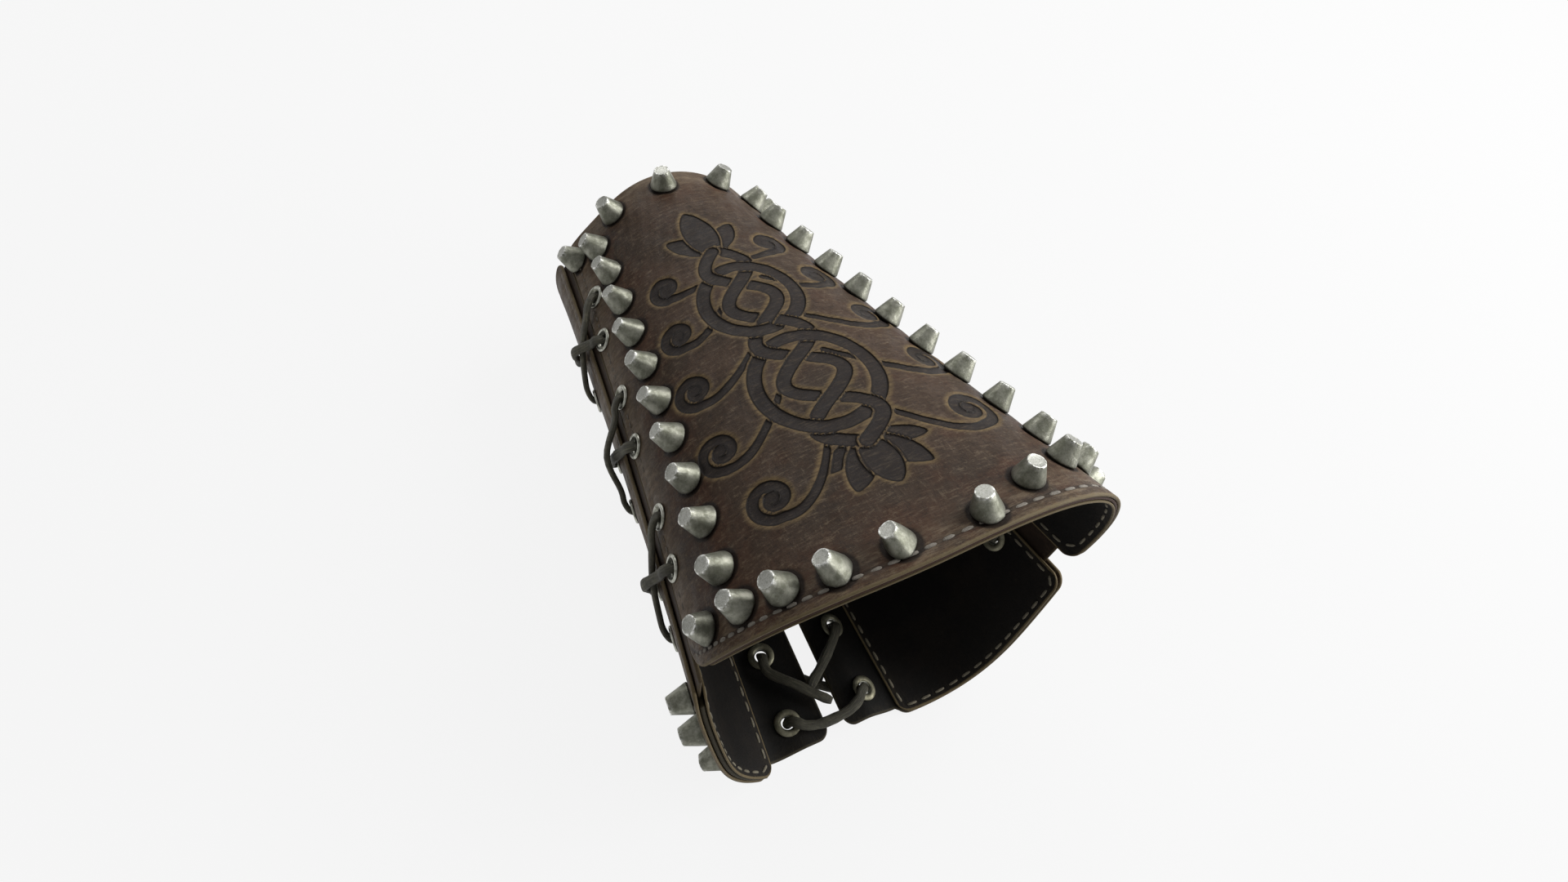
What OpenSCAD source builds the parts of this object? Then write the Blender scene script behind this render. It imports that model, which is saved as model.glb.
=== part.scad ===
// Laced and studded leather bracer of three panels.
// Built about its own long axis (Y, wide end at -Y), then laid on its back seam on z = 0.
// Places on the leather are given as an angle round the arm (0 at the top, 90 at the
// right, seen from the wide end) and a height y in mm along the arm. Millimetres.

/* [Shape of the sleeve] */
// distance of each stud row from the middle of the bracer
row_half = 95; // [60:1:140]
// radius at the wide stud row, top
wide_000 = 69; // [40:0.5:110]
// radius at the wide stud row, 30 degrees
wide_030 = 77.5; // [40:0.5:110]
// radius at the wide stud row, 60 degrees
wide_060 = 82; // [40:0.5:110]
// radius at the wide stud row, 90 degrees
wide_090 = 69.5; // [40:0.5:110]
// radius at the wide stud row, 120 degrees
wide_120 = 62.5; // [40:0.5:110]
// radius at the wide stud row, 150 degrees
wide_150 = 64; // [40:0.5:110]
// radius at the wide stud row, 180 degrees
wide_180 = 59.5; // [40:0.5:110]
// radius at the wide stud row, 210 degrees
wide_210 = 67.5; // [40:0.5:110]
// radius at the wide stud row, 240 degrees
wide_240 = 68.5; // [40:0.5:110]
// radius at the wide stud row, 270 degrees
wide_270 = 67.5; // [40:0.5:110]
// radius at the wide stud row, 300 degrees
wide_300 = 74.5; // [40:0.5:110]
// radius at the wide stud row, 330 degrees
wide_330 = 71.5; // [40:0.5:110]
// radius at the narrow stud row, top
narrow_000 = 39.5; // [25:0.5:80]
// radius at the narrow stud row, 30 degrees
narrow_030 = 41; // [25:0.5:80]
// radius at the narrow stud row, 60 degrees
narrow_060 = 43.5; // [25:0.5:80]
// radius at the narrow stud row, 90 degrees
narrow_090 = 46.5; // [25:0.5:80]
// radius at the narrow stud row, 120 degrees
narrow_120 = 45.5; // [25:0.5:80]
// radius at the narrow stud row, 150 degrees
narrow_150 = 40; // [25:0.5:80]
// radius at the narrow stud row, 180 degrees
narrow_180 = 36; // [25:0.5:80]
// radius at the narrow stud row, 210 degrees
narrow_210 = 43.4; // [25:0.5:80]
// radius at the narrow stud row, 240 degrees
narrow_240 = 43.5; // [25:0.5:80]
// radius at the narrow stud row, 270 degrees
narrow_270 = 44; // [25:0.5:80]
// radius at the narrow stud row, 300 degrees
narrow_300 = 39.3; // [25:0.5:80]
// radius at the narrow stud row, 330 degrees
narrow_330 = 37.5; // [25:0.5:80]
// how far the sleeve is drawn in at mid length
waist = 1.5; // [0:0.1:6]
// how far the flaps dip inwards at the back seam
seam_dip = 4.3; // [0:0.1:6]

/* [Panels] */
// angle of the front panel's left edge
front_left = -72.5; // [-90:0.5:-50]
// angle of the front panel's right edge
front_right = 86; // [50:0.5:100]
// angle of the back left panel's front edge, the left crease
left_crease = -77.5; // [-100:0.5:-60]
// angle of the back right panel's front edge, the right crease
right_crease = 92.5; // [70:0.5:110]
// angle of the back lacing seam
back_seam = 193.7; // [170:0.1:210]
// half the angle between the two flaps at the back seam
gap_half = 3.2; // [1:0.1:10]
// angle from the back seam to the rear edge of each cover
cover_reach = 24.5; // [15:0.5:40]
// angle of each tongue inside the slot of the back panel
tuck = 3.5; // [1:0.1:6]
// angle between a tongue's end and the middle layer in the slot
slot_end = 0.9; // [0.3:0.1:4]
// wide edge of the front panel at the top
front_wide_y = -104.2; // [-130:0.1:-95]
// how much the front panel's wide edge draws back at its left edge
front_rise_left = 17; // [0:0.5:30]
// how much the front panel's wide edge draws back at its right edge
front_rise_right = 6.2; // [0:0.1:30]
// narrow edge of the front panel at the top
front_narrow_y = 105; // [95:0.5:130]
// how much the front panel's narrow edge draws back at its sides
front_narrow_rise = 2.5; // [0:0.5:15]
// wide edge of the back panels at its lowest
back_wide_y = -104.4; // [-130:0.1:-95]
// how much the back left panel's wide edge draws back at the crease
back_rise_left = 12; // [0:0.5:30]
// how much the back right panel's wide edge draws back at the crease
back_rise_right = 4; // [0:0.5:30]
// narrow edge of the back panels
back_narrow_y = 102; // [90:0.5:130]
// wide edge of the flaps at the back seam
flap_wide_y = -100; // [-120:0.5:-80]
// narrow edge of the flaps at the back seam
flap_narrow_y = 98; // [80:0.5:120]
// wide end of the tongues, cut back from the rim
tongue_wide_y = -91; // [-110:0.5:-70]
// narrow end of the tongues
tongue_narrow_y = 99; // [80:0.5:120]
// corner radius of the front panel's left wide corner
corner_left = 8; // [2:0.5:20]
// corner radius of the other panel corners
corner = 5; // [2:0.5:20]
// how far the middle layer lies back inside the rim, the groove
groove = 0.6; // [0.2:0.1:3]

/* [Leather] */
// thickness of the outer leather, front and back
cover_t = 1.2; // [0.8:0.1:3]
// thickness of the middle leather of the front
core_t = 1.1; // [0.6:0.1:3]
// thickness of the lining leather
lining_t = 0.8; // [0.5:0.1:2]
// thickness of the flaps, the middle leather of the back panels
flap_t = 1.8; // [1:0.1:3]
// glue line between two layers
glue = 0.15; // [0.1:0.01:0.3]
// how far the outer face of the back panels stands proud of the front
proud = 1.5; // [0:0.1:3]

/* [Studs] */
// base diameter of a stud
stud_base_d = 11; // [6:0.1:20]
// diameter of a stud's flat top
stud_top_d = 5.8; // [2:0.1:12]
// height of a stud
stud_h = 7.7; // [3:0.1:15]
// depth of the worn hollow in a stud's top
stud_hollow = 0.35; // [0.1:0.05:1]
// upright edge at a stud's base
stud_foot = 0.7; // [0.2:0.1:2]
// diameter of a stud's shank
shank_d = 3; // [1.5:0.1:5]
// diameter of the burr riveted on a shank
burr_d = 6.8; // [5:0.1:9]
// thickness of a burr
burr_t = 0.45; // [0.3:0.05:1]
// angle of the left stud column
column_left = -49.5; // [-70:0.5:-30]
// angle of the right stud column
column_right = 48; // [30:0.5:70]
// number of studs in each column
column_n = 9; // [3:1:15]
// height of the narrowest stud of a column
column_y = 69.5; // [40:0.5:90]
// gap along the arm from a column's last stud to the wide row's first
column_gap = 11.2; // [9:0.1:20]

/* [Eyelets and laces] */
// outer diameter of an eyelet's flange
flange_d = 8.4; // [6:0.1:14]
// bore of an eyelet
eyelet_d = 4.8; // [3:0.1:8]
// wall of an eyelet's barrel
barrel_t = 0.4; // [0.2:0.05:1]
// height of an eyelet's rolled flange
flange_h = 0.75; // [0.4:0.05:1.5]
// thickness of an eyelet's washer
washer_t = 0.5; // [0.3:0.05:1]
// clearance round shanks and barrels in the leather
fit = 0.1; // [0.05:0.01:0.3]
// diameter of the laces
lace_d = 2.8; // [1.5:0.1:4]
// angle of the back left panel's side eyelets past the crease
left_side_eyelet = 17.5; // [5:0.1:25]
// how far they lie nearer the wide end than the front's
left_side_drop = 8.5; // [0:0.5:20]
// angle of the back right panel's side eyelets past the crease
right_side_eyelet = 7.5; // [5:0.1:15]
// angle from the front panel's right edge to its eyelets
front_eyelet = 5.5; // [4:0.1:10]
// angle from the back seam to the rear eyelets
rear_eyelet = 14.9; // [8:0.1:20]

/* [Hidden] */
$fn = 48;

// Pose: the sleeve is pitched until its bottom line is level, then lifted onto z = 0.
pitch = 7.05;
shift_x = -1.853;
shift_y = 0.759;
lift = 49.05;

// Stud places: [angle, y].
wide_row = [[-60, -82.5], [-48, -86], [-37.5, -90], [-25.5, -94], [-10, -95.5], [11.5, -97.5],
    [26, -91.5], [42.5, -85.5], [53.5, -84.5], [64.5, -86.5]];
column_pitch = (column_y - column_gap - wide_row[0][1]) / (column_n - 1);
narrow_row = [[-66.5, 92], [-51, 86.5], [-33.5, 97], [1, 96.5], [36.5, 97], [56.5, 90], [69, 91]];
back_left_row = [[-89.5, -86.5], [-102.5, -92], [-122.5, -95]];
back_right_row = [[106, -92], [120, -94.5], [140, -95]];

// Eyelet places: [angle, y], from the narrow end, two to a lace.
front_left_places = [[-63.5, 67.5], [-67.5, 47], [-67.5, 17.5], [-68.5, -4.5], [-66.8, -36],
    [-67.8, -55]];
right_ys = [66, 45, 7, -14, -51.5, -72.5];
rear_ys = [56, 30, -4, -30, -63.5, -89.5];

// Depths below the reference face, which is the front panel's outer face.
front_core_top = -cover_t - glue;
front_lining_top = front_core_top - core_t - glue;
front_inside = front_lining_top - lining_t;
back_cover_in = proud - cover_t;
flap_top = back_cover_in - glue;
back_lining_top = flap_top - flap_t - glue;
back_inside = back_lining_top - lining_t;
tongue_top = -0.05;

// Back panel edges, as angles that grow from the crease to the seam.
left_end = back_seam - 360;
bl_rear = left_end + cover_reach;
br_rear = back_seam - cover_reach;
left_side_a = left_crease - left_side_eyelet;
right_side_a = right_crease + right_side_eyelet;
right_front_a = front_right - front_eyelet;
left_rear_a = left_end + rear_eyelet;
right_rear_a = back_seam - rear_eyelet;

// Shared bores.
shank_hole_d = shank_d + 2 * fit;
burr_hole_d = burr_d + 6 * fit;
pressed_d = flange_d + 3 * fit;
barrel_d = eyelet_d + 2 * barrel_t;
barrel_hole_d = barrel_d + 2 * fit;
stud_seat = 0.1;
press_seat = 0.05;
washer_seat = 0.3;

// Radii every 30 degrees.
wide_radii = [wide_000, wide_030, wide_060, wide_090, wide_120, wide_150, wide_180, wide_210,
    wide_240, wide_270, wide_300, wide_330];
narrow_radii = [narrow_000, narrow_030, narrow_060, narrow_090, narrow_120, narrow_150,
    narrow_180, narrow_210, narrow_240, narrow_270, narrow_300, narrow_330];
radii_n = len(wide_radii);
radii_step = 360 / radii_n;
slope_step = 0.5;
to_radians = PI / 180;

// Smooth closed curve through evenly spaced radii.
function kernel(x) = abs(sin(x / 2)) < 0.000001 ? 1
    : sin(radii_n / 2 * x) * cos(x / 2) / (radii_n * sin(x / 2));
function total(v, i = 0) = i == len(v) ? 0 : v[i] + total(v, i + 1);
function ring(radii, a) = total([for (i = [0:radii_n - 1]) radii[i] * kernel(a - radii_step * i)]);
function clip(x) = min(1, max(0, x));
function ease(x) = let (c = clip(x)) c * c * (3 - 2 * c);
function wrapped(a) = a < -90 ? a + 360 : a;
function dip(a) = seam_dip * ease((cover_reach - 1 - abs(wrapped(a) - back_seam)) / (cover_reach / 2));

// One station round the arm: radius at both rows and its change per radian.
function station(a) = let (w = ring(wide_radii, a) - dip(a), n = ring(narrow_radii, a) - dip(a),
    w1 = ring(wide_radii, a + slope_step) - dip(a + slope_step),
    n1 = ring(narrow_radii, a + slope_step) - dip(a + slope_step),
    k = 1 / (slope_step * to_radians)) [w, n, (w1 - w) * k, (n1 - n) * k];
function outward(s, a, y) = let (v = (y + row_half) / (2 * row_half),
    r = s[0] * (1 - v) + s[1] * v - 4 * waist * v * (1 - v),
    g = s[2] * (1 - v) + s[3] * v,
    k = (s[1] - s[0] - 4 * waist * (1 - 2 * v)) / (2 * row_half),
    n = cross([g * sin(a) + r * cos(a), 0, g * cos(a) - r * sin(a)], [k * sin(a), 1, k * cos(a)]))
    [[r * sin(a), y, r * cos(a)], n / norm(n)];
function lifted(s, a, y, d) = let (f = outward(s, a, y)) f[0] + d * f[1];
function spot(a, y, d) = lifted(station(a), a, y, d);
function mixed(p, q, t) = p * (1 - t) + q * t;

// Edge lines of the panels along the arm.
function front_wide(a) = front_wide_y + (a < 0 ? front_rise_left * pow(a / front_left, 2)
    : front_rise_right * pow(a / front_right, 2));
function front_narrow(a) = front_narrow_y - front_narrow_rise * pow(a / front_left, 2);
back_low_a = 140;
function back_wide(a) = let (rise = a < 0 ? back_rise_left : back_rise_right,
    edge = a < 0 ? -left_crease : right_crease)
    back_wide_y + rise * pow((abs(a) - back_low_a) / (edge - back_low_a), 2);

// Draws a corner of radius c back, at x mm from the side edge.
function rounding(x, c) = x >= c ? 0 : c - sqrt(max(0, c * c - (c - x) * (c - x)));
function arc_mm(a, b, y) = abs(a - b) * to_radians * (y < 0 ? wide_090 : narrow_090);

// Stations from a0 to a1: close at the ends, where corners of angle c turn, even between.
corner_steps = [0, 0.07, 0.25, 0.55];
function stations(a0, a1, n, c) = concat([for (t = corner_steps) a0 + c * t],
    [for (i = [0:n]) a0 + c + (a1 - a0 - 2 * c) * i / n],
    [for (i = [3:-1:0]) a1 - c * corner_steps[i]]);
function to_angle(mm, y) = mm / (to_radians * (y < 0 ? wide_090 : narrow_090));

// A curved sheet: stations A, wide and narrow edge y at each, outer and inner depth.
module sheet(A, Y0, Y1, top, bottom, rows = 6) {
    m = rows + 1;
    count = len(A) * m;
    S = [for (a = A) station(a)];
    upper = [for (i = [0:len(A) - 1]) for (j = [0:rows])
        lifted(S[i], A[i], mixed(Y0[i], Y1[i], j / rows), top)];
    lower = [for (i = [0:len(A) - 1]) for (j = [0:rows])
        lifted(S[i], A[i], mixed(Y0[i], Y1[i], j / rows), bottom)];
    skin = [for (i = [0:len(A) - 2]) for (j = [0:rows - 1]) let (k = i * m + j)
        each [[k, k + 1, k + m + 1], [k, k + m + 1, k + m],
            [count + k, count + k + m + 1, count + k + 1],
            [count + k, count + k + m, count + k + m + 1]]];
    ends = [for (i = [0:len(A) - 2]) let (k = i * m, t = k + rows)
        each [[k, k + m, count + k + m], [k, count + k + m, count + k],
            [t + m, t, count + t], [t + m, count + t, count + t + m]]];
    last = (len(A) - 1) * m;
    sides = [for (j = [0:rows - 1]) let (t = last + j)
        each [[j + 1, j, count + j], [j + 1, count + j, count + j + 1],
            [t, t + 1, count + t + 1], [t, count + t + 1, count + t]]];
    polyhedron(concat(upper, lower), concat(skin, ends, sides), convexity = 6);
}

// Puts its children on the leather, Z pointing outwards.
module at(a, y, d) {
    f = outward(station(a), a, y);
    n = f[1];
    translate(f[0] + d * n)
        rotate([0, acos(n[2]), atan2(n[1], n[0])])
            children();
}

module pins(places, d, hole_d, length) {
    for (p = places)
        at(p[0], p[1], d)
            cylinder(d = hole_d, h = length, center = true);
}

// Leather that an eyelet's flange presses flat.
module pressed(places, face) {
    for (p = places)
        at(p[0], p[1], face + press_seat)
            cylinder(d = pressed_d, h = through);
}

function column(a) = [for (i = [0:column_n - 1]) [a, column_y - column_pitch * i]];
front_studs = concat(wide_row, narrow_row, column(column_left), column(column_right));
front_right_places = [for (y = right_ys) [right_front_a, y]];
front_eyelets = concat(front_left_places, front_right_places);
left_side_places = [for (p = front_left_places) [left_side_a, p[1] - left_side_drop]];
right_side_places = [for (y = right_ys) [right_side_a, y]];
left_rear_places = [for (y = rear_ys) [left_rear_a, y]];
right_rear_places = [for (y = rear_ys) [right_rear_a, y]];
through = 12;

module lay() {
    translate([shift_x, shift_y, lift])
        rotate([-pitch, 0, 0])
            children();
}

// Front panel layers.
front_n = 34;
module front_sheet(top, bottom, inset) {
    e0 = front_left + to_angle(inset, -1);
    e1 = front_right - to_angle(inset, -1);
    A = stations(e0, e1, front_n, to_angle(corner_left, -1));
    Y0 = [for (a = A) front_wide(a) + inset
        + (a < 0 ? rounding(arc_mm(a, e0, -1), corner_left) : rounding(arc_mm(a, e1, -1), corner))];
    Y1 = [for (a = A) front_narrow(a) - inset
        - rounding(min(arc_mm(a, e0, 1), arc_mm(a, e1, 1)), corner)];
    sheet(A, Y0, Y1, top, bottom);
}

module front_cover() {
    color([0.25, 0.19, 0.16])
        lay()
            difference() {
                front_sheet(0, -cover_t, 0);
                pins(front_studs, 0, shank_hole_d, through);
                pins(front_eyelets, 0, barrel_hole_d, through);
            }
}

module front_core() {
    color([0.3, 0.17, 0.13])
        lay()
            difference() {
                front_sheet(front_core_top, front_core_top - core_t, groove);
                pins(front_studs, 0, burr_hole_d, through);
                pins(front_eyelets, 0, barrel_hole_d, through);
            }
}

module front_lining() {
    color([0.12, 0.11, 0.1])
        lay()
            difference() {
                front_sheet(front_lining_top, front_inside, 0.1);
                pins(front_eyelets, 0, barrel_hole_d, through);
            }
}

// Tongues: single leather between the front panel's edge and the slot of a back panel.
tongue_gap = 0.15;
module tongue(a0, a1) {
    A = [for (i = [0:5]) mixed(a0, a1, i / 5)];
    Y0 = [for (a = A) tongue_wide_y];
    Y1 = [for (a = A) tongue_narrow_y];
    color([0.25, 0.19, 0.16])
        lay()
            sheet(A, Y0, Y1, tongue_top, tongue_top - cover_t);
}

module front_left_tongue() {
    tongue(left_crease - tuck, front_left - tongue_gap);
}

module front_right_tongue() {
    tongue(front_right + tongue_gap, right_crease + tuck);
}

// Back panel covers and linings between the crease and the cover's rear edge.
back_n = 17;
module back_sheet(a0, a1, top, bottom, inset) {
    e0 = a0 + to_angle(inset, -1);
    e1 = a1 - to_angle(inset, -1);
    A = stations(e0, e1, back_n, to_angle(corner, -1));
    Y0 = [for (a = A) back_wide(a) + inset
        + rounding(min(arc_mm(a, e0, -1), arc_mm(a, e1, -1)), corner)];
    Y1 = [for (a = A) back_narrow_y - inset
        - rounding(min(arc_mm(a, e0, 1), arc_mm(a, e1, 1)), corner)];
    sheet(A, Y0, Y1, top, bottom);
}

// Middle layer of a back panel, from the slot's end to its flap's edge at the seam.
flap_blend = 3;
flap_shift = 0.3;
module flap_sheet(a0, a1, rear, flip) {
    A = stations(a0, a1, back_n + 4, to_angle(corner, -1));
    Y0 = [for (a = A) let (x = flip * (rear - a) / flap_blend + flap_shift)
        mixed(flap_wide_y, back_wide(a) + groove, ease(x))
        + (x < 0 ? rounding(min(arc_mm(a, a0, -1), arc_mm(a, a1, -1)), corner) : 0)];
    Y1 = [for (a = A) let (x = flip * (rear - a) / flap_blend + flap_shift)
        mixed(flap_narrow_y, back_narrow_y - groove, ease(x))
        - (x < 0 ? rounding(min(arc_mm(a, a0, 1), arc_mm(a, a1, 1)), corner) : 0)];
    sheet(A, Y0, Y1, flap_top, flap_top - flap_t);
}

module back_left_cover() {
    color([0.23, 0.18, 0.15])
        lay()
            difference() {
                back_sheet(bl_rear, left_crease, proud, back_cover_in, 0);
                pins(back_left_row, 0, shank_hole_d, through);
                pins(left_side_places, 0, barrel_hole_d, through);
            }
}

module back_left_flap() {
    color([0.3, 0.17, 0.13])
        lay()
            difference() {
                flap_sheet(left_end + gap_half, left_crease - tuck - slot_end, bl_rear, -1);
                pins(back_left_row, 0, burr_hole_d, through);
                pins(left_side_places, 0, barrel_hole_d, through);
                pins(left_rear_places, 0, barrel_hole_d, through);
                pressed(left_rear_places, flap_top);
            }
}

module back_left_lining() {
    color([0.12, 0.11, 0.1])
        lay()
            difference() {
                back_sheet(bl_rear, left_crease, back_lining_top, back_inside, 0.1);
                pins(left_side_places, 0, barrel_hole_d, through);
            }
}

module back_right_cover() {
    color([0.23, 0.18, 0.15])
        lay()
            difference() {
                back_sheet(right_crease, br_rear, proud, back_cover_in, 0);
                pins(back_right_row, 0, shank_hole_d, through);
                pins(right_side_places, 0, barrel_hole_d, through);
            }
}

module back_right_flap() {
    color([0.3, 0.17, 0.13])
        lay()
            difference() {
                flap_sheet(right_crease + tuck + slot_end, back_seam - gap_half, br_rear, 1);
                pins(back_right_row, 0, burr_hole_d, through);
                pins(right_side_places, 0, barrel_hole_d, through);
                pins(right_rear_places, 0, barrel_hole_d, through);
                pressed(right_rear_places, flap_top);
            }
}

module back_right_lining() {
    color([0.12, 0.11, 0.1])
        lay()
            difference() {
                back_sheet(right_crease, br_rear, back_lining_top, back_inside, 0.1);
                pins(right_side_places, 0, barrel_hole_d, through);
            }
}

// A cast stud with its shank, on the leather's outer face.
shank_end = cover_t + burr_t + 0.5;
module stud() {
    rotate_extrude()
        polygon([[0, stud_h - stud_hollow], [stud_top_d / 2 - 2 * stud_hollow, stud_h - stud_hollow],
            [stud_top_d / 2 - stud_hollow, stud_h], [stud_top_d / 2, stud_h - 0.1],
            [stud_base_d / 2 - 0.1, stud_foot], [stud_base_d / 2, stud_foot / 2],
            [stud_base_d / 2 - 0.15, stud_seat], [shank_d / 2, stud_seat],
            [shank_d / 2, -shank_end], [0, -shank_end]]);
}

module studs(places, face) {
    color([0.55, 0.56, 0.52])
        lay()
            for (p = places)
                at(p[0], p[1], face)
                    stud();
}

module burrs(places, face) {
    color([0.45, 0.45, 0.4])
        lay()
            for (p = places)
                at(p[0], p[1], face - cover_t - 0.2 - burr_t)
                    difference() {
                        cylinder(d = burr_d, h = burr_t);
                        translate([0, 0, -1])
                            cylinder(d = shank_d + fit, h = burr_t + 2);
                    }
}

module front_wide_row_studs() {
    studs(wide_row, 0);
}

module front_narrow_row_studs() {
    studs(narrow_row, 0);
}

module front_left_column_studs() {
    studs(column(column_left), 0);
}

module front_right_column_studs() {
    studs(column(column_right), 0);
}

module front_stud_burrs() {
    burrs(front_studs, 0);
}

module back_left_studs() {
    studs(back_left_row, proud);
}

module back_left_stud_burrs() {
    burrs(back_left_row, proud);
}

module back_right_studs() {
    studs(back_right_row, proud);
}

module back_right_stud_burrs() {
    burrs(back_right_row, proud);
}

// An eyelet's flange and barrel, and the washer on the inside.
module eyelets(places, face, inside) {
    depth = face - inside + washer_seat + washer_t;
    color([0.7, 0.7, 0.66])
        lay()
            for (p = places)
                at(p[0], p[1], face)
                    rotate_extrude()
                        polygon([[eyelet_d / 2, flange_h - 0.25], [eyelet_d / 2 + 0.35, flange_h],
                            [flange_d / 2 - 0.5, flange_h - 0.1], [flange_d / 2, stud_seat + 0.15],
                            [flange_d / 2 - 0.1, stud_seat], [barrel_d / 2, stud_seat],
                            [barrel_d / 2, -depth], [eyelet_d / 2, -depth]]);
}

module washers(places, inside) {
    color([0.45, 0.46, 0.4])
        lay()
            for (p = places)
                at(p[0], p[1], inside - washer_seat - washer_t)
                    difference() {
                        cylinder(d = flange_d, h = washer_t);
                        translate([0, 0, -1])
                            cylinder(d = barrel_hole_d, h = washer_t + 2);
                    }
}

module front_left_eyelets() {
    eyelets(front_left_places, 0, front_inside);
}

module front_right_eyelets() {
    eyelets(front_right_places, 0, front_inside);
}

module front_eyelet_washers() {
    washers(front_eyelets, front_inside);
}

module back_left_side_eyelets() {
    eyelets(left_side_places, proud, back_inside);
}

module back_left_rear_eyelets() {
    eyelets(left_rear_places, flap_top, flap_top - flap_t);
}

module back_left_eyelet_washers() {
    washers(left_side_places, back_inside);
    washers(left_rear_places, flap_top - flap_t);
}

module back_right_side_eyelets() {
    eyelets(right_side_places, proud, back_inside);
}

module back_right_rear_eyelets() {
    eyelets(right_rear_places, flap_top, flap_top - flap_t);
}

module back_right_eyelet_washers() {
    washers(right_side_places, back_inside);
    washers(right_rear_places, flap_top - flap_t);
}

// Lacing. A strand outside runs from eyelet P to eyelet Q, over faces p and q, at height m
// over the middle, where it hangs the droop lower down the arm. Each row: share of the way,
// height over the face there, share of the droop.
strand_rows = [[0, 0, 0], [0.02, 1.6, 0], [0.1, 2.55, 0.08], [0.21, 2.5, 0.5]];
function strand(P, Q, p, q, m, droop) = concat(
    [for (r = strand_rows) let (s = mixed(P, Q, r[0])) [s[0], s[1] - droop * r[2], p + r[1]]],
    [let (s = mixed(P, Q, 0.5)) [s[0], s[1] - droop, m]],
    [for (i = [3:-1:0]) let (r = strand_rows[i], s = mixed(Q, P, r[0]))
        [s[0], s[1] - droop * r[2], q + r[1]]]);

// The bar inside, between the two wider eyelets, and the two free ends inside. Each bar row:
// share of the way, drop below the inner face, sag along the arm. Each tail row: way down the
// arm, drop, turn round the arm.
inside_drop = washer_seat + washer_t + lace_d / 2 + 0.25;
bar_rows = [[0, 0, 0], [0.03, 0.92, 0.02], [0.075, 1.2, 0.16], [0.14, 1.2, 0.62],
    [0.3, 1.14, 0.93], [0.5, 1.15, 1], [0.7, 1.1, 0.93], [0.86, 1.03, 0.66], [0.925, 1.02, 0.3],
    [0.97, 0.7, 0.04], [1, 0, 0]];
side_tail = [[16, 1.7, 5], [11, 1.6, 3.5], [5.5, 1.3, 1.5], [1.2, 0.95, 0.3]];
upper_tail = [[26, 1.75, -16], [20.2, 2, -10.1], [14.9, 1.95, -5.1], [7.2, 1.4, 0], [0.8, 1, 0]];
under_tail = [[18.4, 0.55, -18.3], [16.4, 0.75, -16.8], [12.8, 0.95, -11.4], [5.2, 1.25, -2.6],
    [0.8, 1, -0.2]];
function bar(P, Q, p, q, sag) = [for (r = bar_rows) let (s = mixed(P, Q, r[0]))
    [s[0], s[1] - sag * r[2], mixed(p, q, r[0]) - inside_drop * r[1]]];
function tail(rows, P, p, way) = [for (r = rows)
    [P[0] + way * r[2], P[1] - r[0], p - inside_drop * r[1]]];
function backwards(v) = [for (i = [len(v) - 1:-1:0]) v[i]];

// Whole route of one lace round eyelets A (narrow) and B (wide) of one side, C and D of the
// other. f and g are the faces, h and k the insides of the two sides, t and u the two tails.
function route(A, B, C, D, f, g, h, k, low, high, way, t, u, sag, droop) = concat(
    tail(t, A, h, way), strand(A, D, f, g, low, droop), bar(D, B, k, h, sag),
    strand(B, C, f, g, high, droop), backwards(tail(u, C, k, -way)));

// Smooth line through the route's points, with steps between two of them.
lace_steps = 2;
function bend(P, i, t) = let (n = len(P) - 1, a = P[max(0, i - 1)], b = P[i], c = P[i + 1],
    d = P[min(n, i + 2)]) b + 0.5 * t * (c - a + t * (2 * a - 5 * b + 4 * c - d
    + t * (3 * b - a - 3 * c + d)));
function smooth(P) = concat([for (i = [0:len(P) - 2]) for (s = [0:lace_steps - 1])
    bend(P, i, s / lace_steps)], [P[len(P) - 1]]);
function heading(P, i) = let (v = P[min(len(P) - 1, i + 1)] - P[max(0, i - 1)]) v / norm(v);
function across(T, i = 0, u = [0, 0, 0], out = []) = i == len(T) ? out
    : let (b = i == 0 ? (abs(T[0][2]) < 0.8 ? [0, 0, 1] : [1, 0, 0]) : u,
        w = b - (b * T[i]) * T[i], n = w / norm(w)) across(T, i + 1, n, concat(out, [n]));

lace_sides = 8;
module lace(rows) {
    P = smooth([for (r = rows) spot(r[0], r[1], r[2])]);
    T = [for (i = [0:len(P) - 1]) heading(P, i)];
    U = across(T);
    n = lace_sides;
    end = (len(P) - 1) * n;
    points = [for (i = [0:len(P) - 1]) for (k = [0:n - 1]) let (q = 360 * k / n)
        P[i] + lace_d / 2 * (cos(q) * U[i] + sin(q) * cross(T[i], U[i]))];
    walls = [for (i = [0:len(P) - 2]) for (k = [0:n - 1]) let (a = i * n + k, b = i * n + (k + 1) % n)
        each [[a, a + n, b + n], [a, b + n, b]]];
    caps = [for (k = [1:n - 2]) each [[0, k, k + 1], [end, end + k + 1, end + k]]];
    color([0.2, 0.2, 0.16])
        lay()
            polyhedron(points, concat(walls, caps), convexity = 10);
}

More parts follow.
